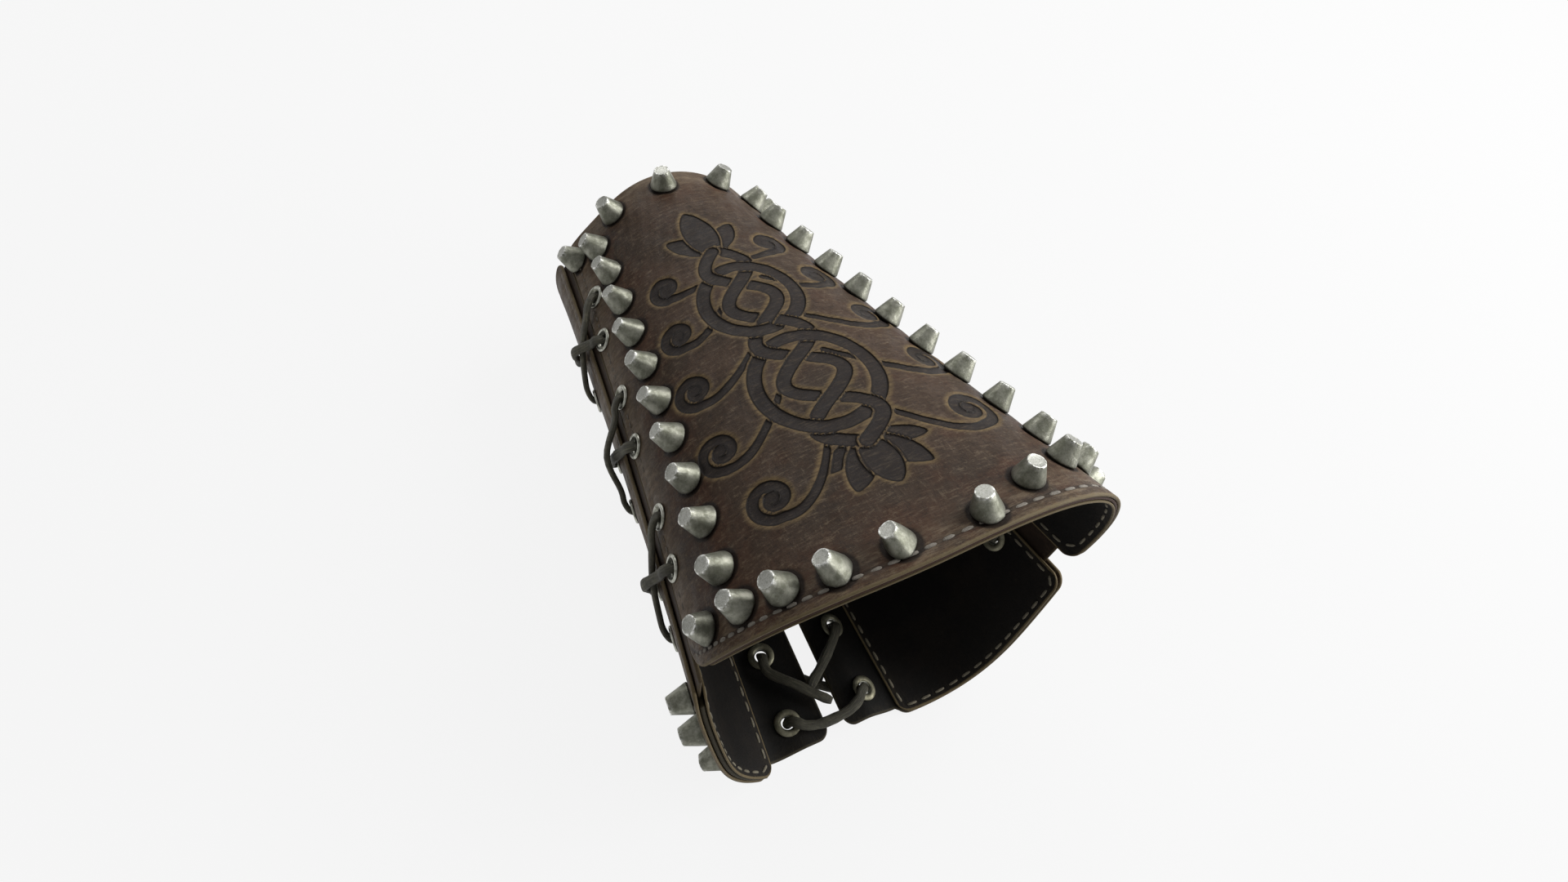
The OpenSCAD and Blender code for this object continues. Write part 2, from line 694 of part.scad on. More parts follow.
// Laces of the left seam, the right seam and the back seam; i picks the pair of rows.
side_low = 3.5;
side_high = 6.4;
function left_route(i) = let (F = front_left_places, B = left_side_places)
    route(F[2 * i], F[2 * i + 1], B[2 * i], B[2 * i + 1], 0, proud, front_inside, back_inside,
        i == 1 ? side_high : side_low, i == 1 ? side_low : side_high, 1, side_tail, side_tail, 0, 0);
function right_route(i) = let (F = front_right_places, B = right_side_places)
    route(F[2 * i], F[2 * i + 1], B[2 * i], B[2 * i + 1], 0, proud, front_inside, back_inside,
        i == 1 ? side_high : side_low, i == 1 ? side_low : side_high, -1, side_tail, side_tail, 0, 0);
rear_low = 1.15;
rear_high = 4.05;
rear_sag = 5.7;
rear_droop = 4;
flap_inside = flap_top - flap_t;
function rear_route(i) = let (F = left_rear_places, B = right_rear_places)
    route([F[2 * i][0] + 360, F[2 * i][1]], [F[2 * i + 1][0] + 360, F[2 * i + 1][1]],
        B[2 * i], B[2 * i + 1], flap_top, flap_top, flap_inside, flap_inside,
        rear_low, rear_high, 1, upper_tail, under_tail, rear_sag, rear_droop);

module left_lace_1() {
    lace(left_route(0));
}

module left_lace_2() {
    lace(left_route(1));
}

module left_lace_3() {
    lace(left_route(2));
}

module right_lace_1() {
    lace(right_route(0));
}

module right_lace_2() {
    lace(right_route(1));
}

module right_lace_3() {
    lace(right_route(2));
}

module rear_lace_1() {
    lace(rear_route(0));
}

module rear_lace_2() {
    lace(rear_route(1));
}

module rear_lace_3() {
    lace(rear_route(2));
}

front_cover();
front_core();
front_lining();
front_left_tongue();
front_right_tongue();
front_wide_row_studs();
front_narrow_row_studs();
front_left_column_studs();
front_right_column_studs();
front_stud_burrs();
front_left_eyelets();
front_right_eyelets();
front_eyelet_washers();
back_left_cover();
back_left_flap();
back_left_lining();
back_left_studs();
back_left_stud_burrs();
back_left_side_eyelets();
back_left_rear_eyelets();
back_left_eyelet_washers();
back_right_cover();
back_right_flap();
back_right_lining();
back_right_studs();
back_right_stud_burrs();
back_right_side_eyelets();
back_right_rear_eyelets();
back_right_eyelet_washers();
left_lace_1();
left_lace_2();
left_lace_3();
right_lace_1();
right_lace_2();
right_lace_3();
rear_lace_1();
rear_lace_2();
rear_lace_3();
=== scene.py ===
"""Laced and studded leather bracer: smooth leather, cast studs, eyelets, laces and thread.

Places on the leather are given as on the bench: an angle round the arm in degrees (0 at the
top, 90 at the right, seen from the wide end), a height y along the arm and a depth over the
front panel's outer face, both in millimetres. The Sleeve turns them into the shared frame.
"""
import logging
import math
from dataclasses import dataclass, field
from enum import Enum
from typing import Any, Callable, Optional, Sequence

import bpy
import numpy as np
from mathutils import Matrix


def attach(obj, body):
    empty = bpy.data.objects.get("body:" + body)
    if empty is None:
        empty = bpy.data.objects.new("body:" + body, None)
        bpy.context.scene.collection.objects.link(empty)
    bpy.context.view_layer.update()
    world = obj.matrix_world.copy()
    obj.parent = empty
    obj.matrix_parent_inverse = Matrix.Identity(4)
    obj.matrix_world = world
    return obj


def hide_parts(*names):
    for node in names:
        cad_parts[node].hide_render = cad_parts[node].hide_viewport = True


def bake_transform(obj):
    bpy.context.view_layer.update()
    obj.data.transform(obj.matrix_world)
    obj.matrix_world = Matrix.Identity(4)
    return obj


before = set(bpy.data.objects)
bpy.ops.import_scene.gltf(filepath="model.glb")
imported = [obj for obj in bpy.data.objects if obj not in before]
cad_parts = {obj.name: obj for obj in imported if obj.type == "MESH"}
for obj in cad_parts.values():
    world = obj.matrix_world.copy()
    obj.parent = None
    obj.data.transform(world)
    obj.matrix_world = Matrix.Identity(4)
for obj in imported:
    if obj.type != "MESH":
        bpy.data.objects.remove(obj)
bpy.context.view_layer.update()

log = logging.getLogger("bracer")
MM = 0.001
FAR = 99.0
TINY = 1e-9
QUARTER = math.pi / 2
TURN = 2 * math.pi
Array = np.ndarray
Socket = bpy.types.NodeSocket
Finish = bpy.types.Material
Shade = tuple[int, int, int]
Place = tuple[float, float]
Places = tuple[Place, ...]
Row = tuple[float, float, float]
Rows = Sequence[Row]
Line = tuple[Array, Array, Array]
Marks = dict[str, Array]


class Body(Enum):
    """Bodies that the pieces move with."""

    FRONT = "front"
    LEFT = "back_left"
    RIGHT = "back_right"


class Slot(Enum):
    """Material slots of the record."""

    OUTER = "outer_leather"
    INNER = "inner_leather"
    LINING = "lining_leather"
    LACE = "lace_leather"
    STUD = "stud_metal"
    EYELET = "eyelet_metal"


def tone(shade: Shade) -> tuple[float, ...]:
    """Turns a screen colour, 0 to 255, into the linear colour that a shader takes."""
    levels = [v / 255 for v in shade]
    return (*(v / 12.92 if v <= 0.04045 else ((v + 0.055) / 1.055) ** 2.4 for v in levels), 1.0)


def ease(x: Array) -> Array:
    """Smooth step: 0 below 0, 1 above 1, and 3x^2 - 2x^3 between."""
    c = np.clip(x, 0, 1)
    return c * c * (3 - 2 * c)


def unit(vectors: Array) -> Array:
    """Brings vectors to a length of 1."""
    return vectors / np.linalg.norm(vectors, axis=-1, keepdims=True)


def square(vectors: Array, axis: Array) -> Array:
    """Takes out of vectors what they have along unit axes, and brings them to a length of 1."""
    return unit(vectors - np.sum(vectors * axis, axis=-1, keepdims=True) * axis)


def travelled(path: Array) -> Array:
    """Length in mm from a path's start to each of its points in metres."""
    return np.concatenate([[0], np.cumsum(np.linalg.norm(np.diff(path, axis=0), axis=-1))]) / MM


def round_turn(points: int) -> Array:
    """Even angles round a full turn, without its end."""
    return np.linspace(0, TURN, points, endpoint=False)


@dataclass(frozen=True)
class Sleeve:
    """The bracer's reference face, laid on its back seam.

    The radius at each stud row runs smoothly through twelve measured radii. Between the rows
    it changes in a straight line, less a shallow waist at mid length.
    """

    half: float = 95.0
    wide: tuple[float, ...] = (69, 77.5, 82, 69.5, 62.5, 64, 59.5, 67.5, 68.5, 67.5, 74.5, 71.5)
    narrow: tuple[float, ...] = (39.5, 41, 43.5, 46.5, 45.5, 40, 36, 43.4, 43.5, 44, 39.3, 37.5)
    waist: float = 1.5
    seam_dip: float = 4.3
    back_seam: float = 193.7
    cover_reach: float = 24.5
    pitch: float = 7.05
    shift: Row = (-1.853, 0.759, 49.05)

    def ring(self, radii: Sequence[float], angle: Array) -> Array:
        """Closed smooth curve through evenly spaced radii.

        Each radius weighs in by sin(nx/2) cos(x/2) / (n sin(x/2)), x being the angle from it.

        Args:
            radii: radii at even steps from the top.
            angle: angles in degrees.
        Returns:
            The radius at each angle.
        """
        n = len(radii)
        total = np.zeros_like(angle, dtype=float)
        for i, radius in enumerate(radii):
            x = np.radians(angle) - TURN * i / n
            s = np.sin(x / 2)
            near = np.abs(s) < TINY
            weight = np.sin(n / 2 * x) * np.cos(x / 2) / (n * np.where(near, 1, s))
            total += radius * np.where(near, 1, weight)
        return total

    def radius(self, angle: Array, y: Array) -> Array:
        """Radius of the reference face, which dips inwards under the flaps, at a height."""
        v = (y + self.half) / (2 * self.half)
        from_seam = np.abs(np.where(angle < -90, angle + 360, angle) - self.back_seam)
        dip = self.seam_dip * ease((self.cover_reach - 1 - from_seam) / (self.cover_reach / 2))
        wide, narrow = self.ring(self.wide, angle) - dip, self.ring(self.narrow, angle) - dip
        return wide * (1 - v) + narrow * v - 4 * self.waist * v * (1 - v)

    def face(self, angle: Array, y: Array) -> Array:
        """Points of the reference face about the sleeve's own axis, in mm."""
        r, a = self.radius(angle, y), np.radians(angle)
        return np.stack([r * np.sin(a), y, r * np.cos(a)], axis=-1)

    def outward(self, angle: Array, y: Array, step: float = 0.25) -> Array:
        """Unit normals: the cross product of the slopes round the arm and along it."""
        around = self.face(angle + step, y) - self.face(angle - step, y)
        return unit(np.cross(around, self.face(angle, y + step) - self.face(angle, y - step)))

    def turn(self, vectors: Array) -> Array:
        """Turns directions from the sleeve's own axis into the shared frame."""
        c, s = math.cos(math.radians(self.pitch)), math.sin(math.radians(self.pitch))
        return vectors @ np.array([[1, 0, 0], [0, c, s], [0, -s, c]]).T

    def lay(self, points: Array) -> Array:
        """Turns points in mm about the sleeve's axis into metres in the shared frame."""
        return (self.turn(points) + np.array(self.shift)) * MM

    def place(self, angle: Array, y: Array, depth: Array) -> Array:
        """Points at a depth over the reference face, in metres in the shared frame."""
        angle, y, depth = np.broadcast_arrays(*(np.asarray(v, dtype=float) for v in (angle, y, depth)))
        return self.lay(self.face(angle, y) + depth[..., None] * self.outward(angle, y))

    def arc(self, angle: Array, y: Array) -> Array:
        """Length in mm round the arm that stands for one degree at a height."""
        return np.radians(1) * self.radius(angle, y)

    def nearest(self, a: Array, y: Array, places: Places) -> Array:
        """Distance in mm from each point to the nearest of some places."""
        least = np.full(a.shape, FAR)
        for at, height in places:
            least = np.minimum(least, np.hypot((a - at) * self.arc(a, y), y - height))
        return least


SLEEVE = Sleeve()


def along(angle: float, ys: Sequence[float], drop: float = 0.0) -> Places:
    """Places at one angle and several heights, each less a drop."""
    return tuple((angle, y - drop) for y in ys)


@dataclass(frozen=True)
class Pattern:
    """Cutting sizes of the panels, their layers and their hardware, in mm and degrees."""

    front_left: float = -72.5
    front_right: float = 86.0
    left_crease: float = -77.5
    right_crease: float = 92.5
    gap_half: float = 3.2
    tuck: float = 3.5
    slot_end: float = 0.9
    front_wide_y: float = -104.2
    front_rise: Place = (17.0, 6.2)
    front_narrow_y: float = 105.0
    front_narrow_rise: float = 2.5
    back_wide_y: float = -104.4
    back_rise: Place = (12.0, 4.0)
    back_low: float = 140.0
    back_narrow_y: float = 102.0
    flap_wide_y: float = -100.0
    flap_narrow_y: float = 98.0
    flap_blend: float = 3.0
    tongue_wide_y: float = -91.0
    tongue_narrow_y: float = 99.0
    corner_left: float = 8.0
    corner: float = 5.0
    cover_t: float = 1.2
    core_t: float = 1.1
    lining_t: float = 0.8
    flap_t: float = 1.8
    glue: float = 0.15
    proud: float = 1.5
    # Depths of each layer's outer face, and of the panels' inner faces
    core_top: float = -cover_t - glue
    lining_top: float = core_top - core_t - glue
    front_inside: float = lining_top - lining_t
    flap_top: float = proud - cover_t - glue
    flap_inside: float = flap_top - flap_t
    back_lining_top: float = flap_inside - glue
    back_inside: float = back_lining_top - lining_t
    # Angles of the back seam counted from the left, and of the back covers' rear edges
    left_end: float = SLEEVE.back_seam - 360
    left_rear: float = left_end + SLEEVE.cover_reach
    right_rear: float = SLEEVE.back_seam - SLEEVE.cover_reach
    column_left: float = -49.5
    column_right: float = 48.0
    column_n: int = 9
    column_y: float = 69.5
    column_pitch: float = 17.6
    left_side_eyelet: float = 17.5
    left_side_drop: float = 8.5
    right_side_eyelet: float = 7.5
    front_eyelet: float = 5.5
    rear_eyelet: float = 14.9
    wide_row: Places = ((-60, -82.5), (-48, -86), (-37.5, -90), (-25.5, -94), (-10, -95.5), (11.5, -97.5),
                        (26, -91.5), (42.5, -85.5), (53.5, -84.5), (64.5, -86.5))
    narrow_row: Places = ((-66.5, 92), (-51, 86.5), (-33.5, 97), (1, 96.5), (36.5, 97), (56.5, 90), (69, 91))
    left_row: Places = ((-89.5, -86.5), (-102.5, -92), (-122.5, -95))
    right_row: Places = ((106, -92), (120, -94.5), (140, -95))
    right_ys: tuple[float, ...] = (66, 45, 7, -14, -51.5, -72.5)
    rear_ys: tuple[float, ...] = (56, 30, -4, -30, -63.5, -89.5)
    front_left_eyelets: Places = ((-63.5, 67.5), (-67.5, 47), (-67.5, 17.5), (-68.5, -4.5), (-66.8, -36),
                                  (-67.8, -55))
    front_right_eyelets: Places = along(front_right - front_eyelet, right_ys)
    left_side_eyelets: Places = along(left_crease - left_side_eyelet, [y for _, y in front_left_eyelets],
                                      left_side_drop)
    right_side_eyelets: Places = along(right_crease + right_side_eyelet, right_ys)
    left_rear_eyelets: Places = along(left_end + rear_eyelet, rear_ys)
    right_rear_eyelets: Places = along(SLEEVE.back_seam - rear_eyelet, rear_ys)

    def column(self, angle: float) -> Places:
        """Stud places of one column down the front."""
        return tuple((angle, self.column_y - self.column_pitch * i) for i in range(self.column_n))

    def front_studs(self) -> Places:
        """All stud places of the front panel."""
        columns = self.column(self.column_left) + self.column(self.column_right)
        return self.wide_row + self.narrow_row + columns

    def front_wide(self, a: Array) -> Array:
        """Wide edge of the front: a parabola to each side of the top."""
        rise, edge = np.where(a < 0, *self.front_rise), np.where(a < 0, self.front_left, self.front_right)
        return self.front_wide_y + rise * (a / edge) ** 2

    def front_narrow(self, a: Array) -> Array:
        """Narrow edge of the front: a shallow parabola."""
        return self.front_narrow_y - self.front_narrow_rise * (a / self.front_left) ** 2

    def back_wide(self, a: Array) -> Array:
        """Wide edge of the back panels: a parabola with its lowest point near the flap."""
        rise, edge = np.where(a < 0, *self.back_rise), np.where(a < 0, -self.left_crease, self.right_crease)
        return self.back_wide_y + rise * ((np.abs(a) - self.back_low) / (edge - self.back_low)) ** 2


PATTERN = Pattern()


def show(name: str, data: bpy.types.ID) -> bpy.types.Object:
    """Puts an object of this name and data into the scene."""
    thing = bpy.data.objects.new(name, data)
    bpy.context.scene.collection.objects.link(thing)
    return thing


def feed(tree: bpy.types.NodeTree, socket: Socket, value: Any) -> None:
    """Links a socket, or sets its value where the value is plain; None leaves it alone."""
    if isinstance(value, Socket):
        tree.links.new(value, socket)
    elif value is not None:
        socket.default_value = value


def add_node(tree: bpy.types.NodeTree, kind: str, inputs: dict[Any, Any], output: Any = 0,
             **settings: Any) -> Optional[Socket]:
    """Adds a shader node.

    Args:
        tree: the tree that it goes into.
        kind: what kind of node.
        inputs: name or number of each input, with what feeds it.
        output: name or number of the output that is wanted.
        settings: the node's own settings.
    Returns:
        The wanted output, or None where the node has none.
    """
    node = tree.nodes.new("ShaderNode" + kind)
    for name, value in settings.items():
        setattr(node, name, value)
    for name, value in inputs.items():
        feed(tree, node.inputs[name], value)
    return node.outputs[output] if node.outputs else None


class Recipe:
    """Builds one material in the words of a leather worker's finish, coat over coat."""

    def __init__(self, name: str, base: Shade) -> None:
        """Starts a material with a base colour and the object's own coordinates."""
        self.material = bpy.data.materials.new(name)
        self.material.use_nodes = True
        self.tree = self.material.node_tree
        self.place = add_node(self.tree, "TexCoord", {}, "Object")
        self.colour: Any = tone(base)
        self.normal: Optional[Socket] = None

    def attribute(self, name: str) -> Socket:
        """The value of a vertex attribute."""
        return add_node(self.tree, "Attribute", {}, "Fac", attribute_name=name)

    def stretched(self, scale: Row, turned: float = 0.0) -> Socket:
        """Object coordinates stretched by a scale along each axis, once turned about Z by degrees."""
        turn = (0.0, 0.0, math.radians(turned))
        return add_node(self.tree, "Mapping", {"Scale": scale, "Rotation": turn, "Vector": self.place})

    def lengthwise(self, run: float, turn: float) -> Socket:
        """Coordinates from a strip's own marks: its run in mm and its turn round the section."""
        marks = {"X": self.times(self.attribute("run"), run), "Y": self.times(self.attribute("turn"), turn)}
        return add_node(self.tree, "CombineXYZ", marks)

    def noise(self, scale: float, detail: float, roughness: float, vector: Optional[Socket] = None) -> Socket:
        """Soft noise.

        Args:
            scale: patches per metre.
            detail: octaves.
            roughness: weight of the finer octaves.
            vector: coordinates, the object's own if left out.
        Returns:
            The noise's value from 0 to 1.
        """
        return add_node(self.tree, "TexNoise", {"Scale": scale, "Detail": detail, "Roughness": roughness,
                                                "Vector": vector or self.place}, "Fac")

    def cracks(self, scale: float) -> Socket:
        """Distance to the edges of small cells, for the leather's pores."""
        return add_node(self.tree, "TexVoronoi", {"Scale": scale, "Vector": self.place}, "Distance",
                        feature="DISTANCE_TO_EDGE")

    def fade(self, value: Socket, start: float, end: float, low: float = 0.0, high: float = 1.0) -> Socket:
        """Smooth step of a value.

        Args:
            value: the socket that is read.
            start, end: where the step begins and ends.
            low, high: results at the begin and the end.
        Returns:
            The stepped value.
        """
        return add_node(self.tree, "MapRange", {"Value": value, "From Min": start, "From Max": end,
                                                "To Min": low, "To Max": high}, "Result",
                        interpolation_type="SMOOTHSTEP")

    def sum(self, operation: str, first: Any, second: Any) -> Socket:
        """One sum of two values."""
        return add_node(self.tree, "Math", {0: first, 1: second}, operation=operation)

    def times(self, first: Any, *others: Any) -> Socket:
        """The product of some values."""
        for other in others:
            first = self.sum("MULTIPLY", first, other)
        return first

    def coat(self, share: Any, shade: Shade) -> None:
        """Lays a colour over what is there, by a share from 0 to 1."""
        self.colour = add_node(self.tree, "Mix", {"Factor": share, "A": self.colour, "B": tone(shade)},
                               "Result", data_type="RGBA")

    def bump(self, height: Socket, millimetres: float, strength: float) -> None:
        """Raises the surface's shading by a height from 0 to 1 times some millimetres."""
        self.normal = add_node(self.tree, "Bump", {"Strength": strength, "Distance": millimetres * MM,
                                                   "Height": height, "Normal": self.normal})

    def finish(self, roughness: Any, metallic: float = 0.0, specular: float = 0.5) -> Finish:
        """Sets the shader's sockets and gives the material back."""
        shader = self.tree.nodes["Principled BSDF"]
        for name, value in (("Base Color", self.colour), ("Roughness", roughness), ("Normal", self.normal),
                            ("Metallic", metallic), ("Specular IOR Level", specular)):
            feed(self.tree, shader.inputs[name], value)
        return self.material


@dataclass(frozen=True)
class OuterLeather:
    """Oiled brown leather with redder patches, worn light scratches, blackened tooling, painted sheen and
    painted shade.
    """

    brown: Shade = (62, 48, 38)
    dark: Shade = (51, 41, 33)
    red: Shade = (66, 44, 33)
    # light scratches and scuffs, and the painted sheen along the margins
    streak_and_sheen: Shade = (108, 95, 78)
    tan: Shade = (98, 82, 56)
    rim_tan: Shade = (110, 97, 71)
    blacking: Shade = (31, 27, 27)
    # dark scratches, and painted shade in the tooling's cut, the stitch channel and round the stud feet
    line: Shade = (24, 20, 18)
    cut: Shade = (92, 81, 60)

    def material(self, name: str) -> Finish:
        """Builds the finish. It reads the distances in mm to tooling, studs, rim and edges."""
        r = Recipe(name, self.dark)
        tool, stud, rim, edge = (r.attribute(mark) for mark in ("tool", "stud", "rim", "edge"))
        patch = r.noise(75, 6, 0.7)
        across = r.noise(620, 6, 0.8, r.stretched((0.34, 1.6, 0.7), 16))
        lengthwise = r.noise(640, 6, 0.8, r.stretched((1.5, 0.3, 1.2), -12))
        scuff = r.noise(170, 7, 0.8, r.stretched((0.5, 3.2, 1.0), 18))
        nicks = r.noise(420, 6, 0.8, r.stretched((0.7, 3.0, 1.6), 20))
        r.coat(r.fade(r.noise(24, 4, 0.6), 0.36, 0.64), self.brown)
        r.coat(r.fade(patch, 0.5, 0.72, 0, 0.4), self.red)
        r.coat(r.times(r.fade(stud, 8.0, 0.5), r.fade(patch, 0.38, 0.58), 0.6), self.red)
        r.coat(r.times(r.fade(rim, 26.0, 6.0, 0, 0.35), r.fade(patch, 0.4, 0.6)), self.red)
        # Light and dark hatching both ways, a painted sheen along the margins, then the scuffed margins
        r.coat(r.fade(across, 0.52, 0.68, 0, 0.5), self.streak_and_sheen)
        r.coat(r.fade(lengthwise, 0.54, 0.7, 0, 0.42), self.streak_and_sheen)
        r.coat(r.fade(across, 0.48, 0.33, 0, 0.6), self.line)
        r.coat(r.fade(lengthwise, 0.48, 0.33, 0, 0.5), self.line)
        # Painted sheen: a flat lighter band within about 15 mm of the edges, fading out near the wide rim
        r.coat(r.times(r.fade(edge, 15.0, 5.0), r.fade(rim, 4.0, 14.0, 0, 0.28)), self.streak_and_sheen)
        r.coat(r.times(r.fade(edge, 18.0, 3.0), r.fade(scuff, 0.44, 0.66), 0.8), self.streak_and_sheen)
        r.coat(r.fade(scuff, 0.62, 0.8, 0, 0.35), self.streak_and_sheen)
        # Tooling: a tan glow beside it, blacking inside, worn middles and a dark line of painted shade along
        # the cut
        r.coat(r.times(r.fade(tool, -2.2, -0.2), r.fade(across, 0.36, 0.6, 0.2, 0.95)), self.tan)
        r.coat(r.fade(tool, 0.0, 0.25, 0, 0.94), self.blacking)
        r.coat(r.times(r.fade(tool, 0.2, 0.9), r.fade(across, 0.5, 0.74, 0, 0.3)), self.streak_and_sheen)
        # Painted shade: a dark line in the cut groove along each band's outline
        r.coat(r.times(r.fade(tool, -0.3, 0.1), r.fade(tool, 0.85, 0.3), 0.92), self.line)
        # Rim: a light band with nicks, painted shade in the stitch channel, painted shade with dirt round the
        # stud feet, and the cut edge
        r.coat(r.times(r.fade(rim, 3.6, 1.2), r.fade(nicks, 0.42, 0.66, 0.0, 0.45)), self.tan)
        r.coat(r.times(r.fade(rim, 1.1, 0.2), r.fade(nicks, 0.36, 0.6, 0.2, 0.95)), self.rim_tan)
        # Painted shade in the sunk stitch channel
        r.coat(r.times(r.fade(rim, 3.5, 4.0), r.fade(rim, 5.4, 4.8), 0.55), self.line)
        # Painted shade with dirt, where the leather meets each stud's foot
        r.coat(r.fade(stud, 1.2, 0.1, 0, 0.85), self.line)
        r.coat(r.fade(edge, 0.9, 0.4, 0, 0.8), self.cut)
        oily = r.fade(r.noise(150, 5, 0.7), 0.3, 0.7, 0.4, 0.6)
        r.bump(r.fade(r.cracks(1100), 0.0, 0.2), 0.06, 0.35)
        r.bump(r.noise(1500, 4, 0.7), 0.14, 0.45)
        r.bump(across, 0.3, 0.5)
        r.bump(lengthwise, 0.3, 0.4)
        r.bump(r.fade(tool, 0.35, -0.2), 0.6, 0.9)
        return r.finish(r.sum("ADD", oily, r.fade(tool, -0.1, 0.3, 0, -0.05)), specular=0.1)


@dataclass(frozen=True)
class PlainLeather:
    """Leather without tooling: linings, cut middle layers, flaps and tongues' inner sides."""

    colour: Shade = (17, 15, 13)
    patch: Shade = (25, 21, 17)
    scratch: Shade = (52, 46, 36)
    cut: Shade = (100, 88, 64)
    cut_width: float = 0.5
    rough: float = 0.62
    relief: float = 0.25

    def material(self, name: str) -> Finish:
        """Builds the finish; the cut edge shows where the edge distance is small."""
        r = Recipe(name, self.colour)
        edge = r.attribute("edge")
        scratch = r.noise(420, 6, 0.8, r.stretched((2.6, 0.6, 1.5), 10))
        ragged = r.sum("ADD", edge, r.fade(scratch, 0.3, 0.7, -0.12, 0.12))
        r.coat(r.fade(r.noise(60, 5, 0.65), 0.42, 0.68), self.patch)
        r.coat(r.fade(scratch, 0.55, 0.78, 0, 0.35), self.scratch)
        r.coat(r.times(r.fade(edge, 5.0, 0.8, 0, 0.5), r.fade(scratch, 0.4, 0.65)), self.scratch)
        r.coat(r.fade(ragged, 2 * self.cut_width, self.cut_width, 0, 0.85), self.cut)
        r.bump(r.noise(1300, 5, 0.7), self.relief, 0.5)
        r.bump(scratch, self.relief, 0.5)
        return r.finish(self.rough, specular=0.12)


@dataclass(frozen=True)
class Strip:
    """Fibrous strips: cut laces and twisted thread, streaked along their run."""

    colour: Shade = (60, 58, 48)
    light: Shade = (104, 101, 84)
    dark: Shade = (24, 22, 18)
    run: float = 0.16
    turn: float = 3.4
    relief: float = 0.5
    rough: float = 0.6

    def material(self, name: str) -> Finish:
        """Builds the finish from noise stretched along the strip."""
        r = Recipe(name, self.colour)
        fibre = r.noise(1.0, 5, 0.75, r.lengthwise(self.run, self.turn))
        knots = r.noise(1.0, 3, 0.6, r.lengthwise(0.7, 0.8))
        r.coat(r.fade(fibre, 0.46, 0.7, 0, 0.75), self.light)
        r.coat(r.fade(fibre, 0.46, 0.3, 0, 0.75), self.dark)
        r.coat(r.fade(knots, 0.52, 0.72, 0, 0.4), self.dark)
        r.bump(fibre, self.relief, 0.8)
        r.bump(knots, self.relief, 0.4)
        return r.finish(self.rough, specular=0.3)


@dataclass(frozen=True)
class CastMetal:
    """Cast grey-green metal: dull cloudy sides, a grainy crown, a thin worn rim lit up with a painted
    highlight, and painted shade with grime at the foot.
    """

    side: Shade = (142, 142, 130)
    cloud: Shade = (102, 103, 90)
    crown_tone: Shade = (170, 170, 165)
    # worn rim, raised almost to white as a painted highlight
    bright: Shade = (242, 242, 238)
    foot_shade_and_grime: Shade = (58, 57, 47)

    def material(self, name: str) -> Finish:
        """Builds the finish; it reads how worn the rim is, which also sets the painted highlight, and how
        near the base is, which sets the painted shade at the foot.
        """
        r = Recipe(name, self.cloud)
        worn, crown, foot = (r.attribute(mark) for mark in ("worn", "crown", "foot"))
        cloud = r.noise(300, 5, 0.7, r.stretched((1.0, 1.0, 0.6)))
        grain = r.noise(2600, 4, 0.75)
        drag = r.noise(800, 5, 0.7)
        edge = r.times(worn, r.fade(drag, 0.42, 0.62))
        r.coat(r.fade(cloud, 0.36, 0.66), self.side)
        r.coat(r.fade(drag, 0.56, 0.76, 0, 0.35), self.crown_tone)
        # Painted shade with grime: darker towards the foot, where the stud meets the leather
        r.coat(r.times(foot, r.fade(drag, 0.3, 0.6, 0.15, 0.7)), self.foot_shade_and_grime)
        r.coat(r.times(crown, 0.75), self.crown_tone)
        r.coat(r.times(crown, r.fade(grain, 0.52, 0.4, 0, 0.55)), self.cloud)
        # Worn crown rim, lit almost to white as a painted highlight
        r.coat(edge, self.bright)
        r.bump(drag, 0.22, 0.45)
        r.bump(grain, 0.12, 0.5)
        rough = r.sum("SUBTRACT", r.fade(cloud, 0.3, 0.7, 0.52, 0.4), r.times(edge, 0.15))
        return r.finish(rough, metallic=0.82)


@dataclass(frozen=True)
class RolledMetal:
    """Rolled eyelet metal, bright where hands rub it and dull inside."""

    bright: Shade
    dull: Shade
    share: float = 0.9
    rough: float = 0.32

    def material(self, name: str) -> Finish:
        """Builds the finish from soft clouds of dull metal."""
        r = Recipe(name, self.dull)
        cloud = r.noise(420, 4, 0.6)
        r.coat(r.fade(cloud, 0.3, 0.62, 0, self.share), self.bright)
        r.bump(r.noise(1500, 3, 0.6), 0.05, 0.3)
        return r.finish(r.fade(cloud, 0.3, 0.7, self.rough + 0.12, self.rough), metallic=0.85)


class Finishes:
    """All the finishes, built once and shared by the pieces."""

    def __init__(self) -> None:
        """Builds every material of the bracer."""
        self.outer = OuterLeather().material("oiled_leather")
        self.core = PlainLeather((58, 41, 33), (70, 48, 37), cut=(58, 41, 34)).material("middle_leather")
        self.lining = PlainLeather(cut_width=0.45).material("lining_leather")
        self.tongue = PlainLeather((38, 29, 23), (48, 37, 28), (70, 56, 42),
                                   (70, 60, 44)).material("tongue_leather")
        self.flap = PlainLeather((14, 13, 11), (22, 19, 15), (42, 37, 28),
                                 (54, 49, 36)).material("flap_leather")
        self.lace = Strip().material("lace_leather")
        grey, worn, brown = (((108, 103, 95), (140, 134, 124), (66, 62, 56)),
                             ((84, 78, 70), (104, 98, 88), (56, 50, 44)),
                             ((106, 100, 86), (142, 135, 116), (58, 54, 45)))
        self.thread = Strip(*grey, 0.7, 1.2, 0.3, 0.8).material("grey_thread")
        self.flat_thread = Strip(*worn, 0.7, 1.2, 0.2, 0.8).material("worn_thread")
        self.dark_thread = Strip(*brown, 0.7, 1.2, 0.3, 0.8).material("inner_thread")
        self.stud = CastMetal().material("cast_stud_metal")
        self.eyelet = RolledMetal((186, 186, 176), (112, 112, 98)).material("rolled_eyelet_metal")
        self.washer = RolledMetal((150, 147, 126), (104, 101, 84), 0.7, 0.5).material("dull_washer_metal")


FINISHES = Finishes()


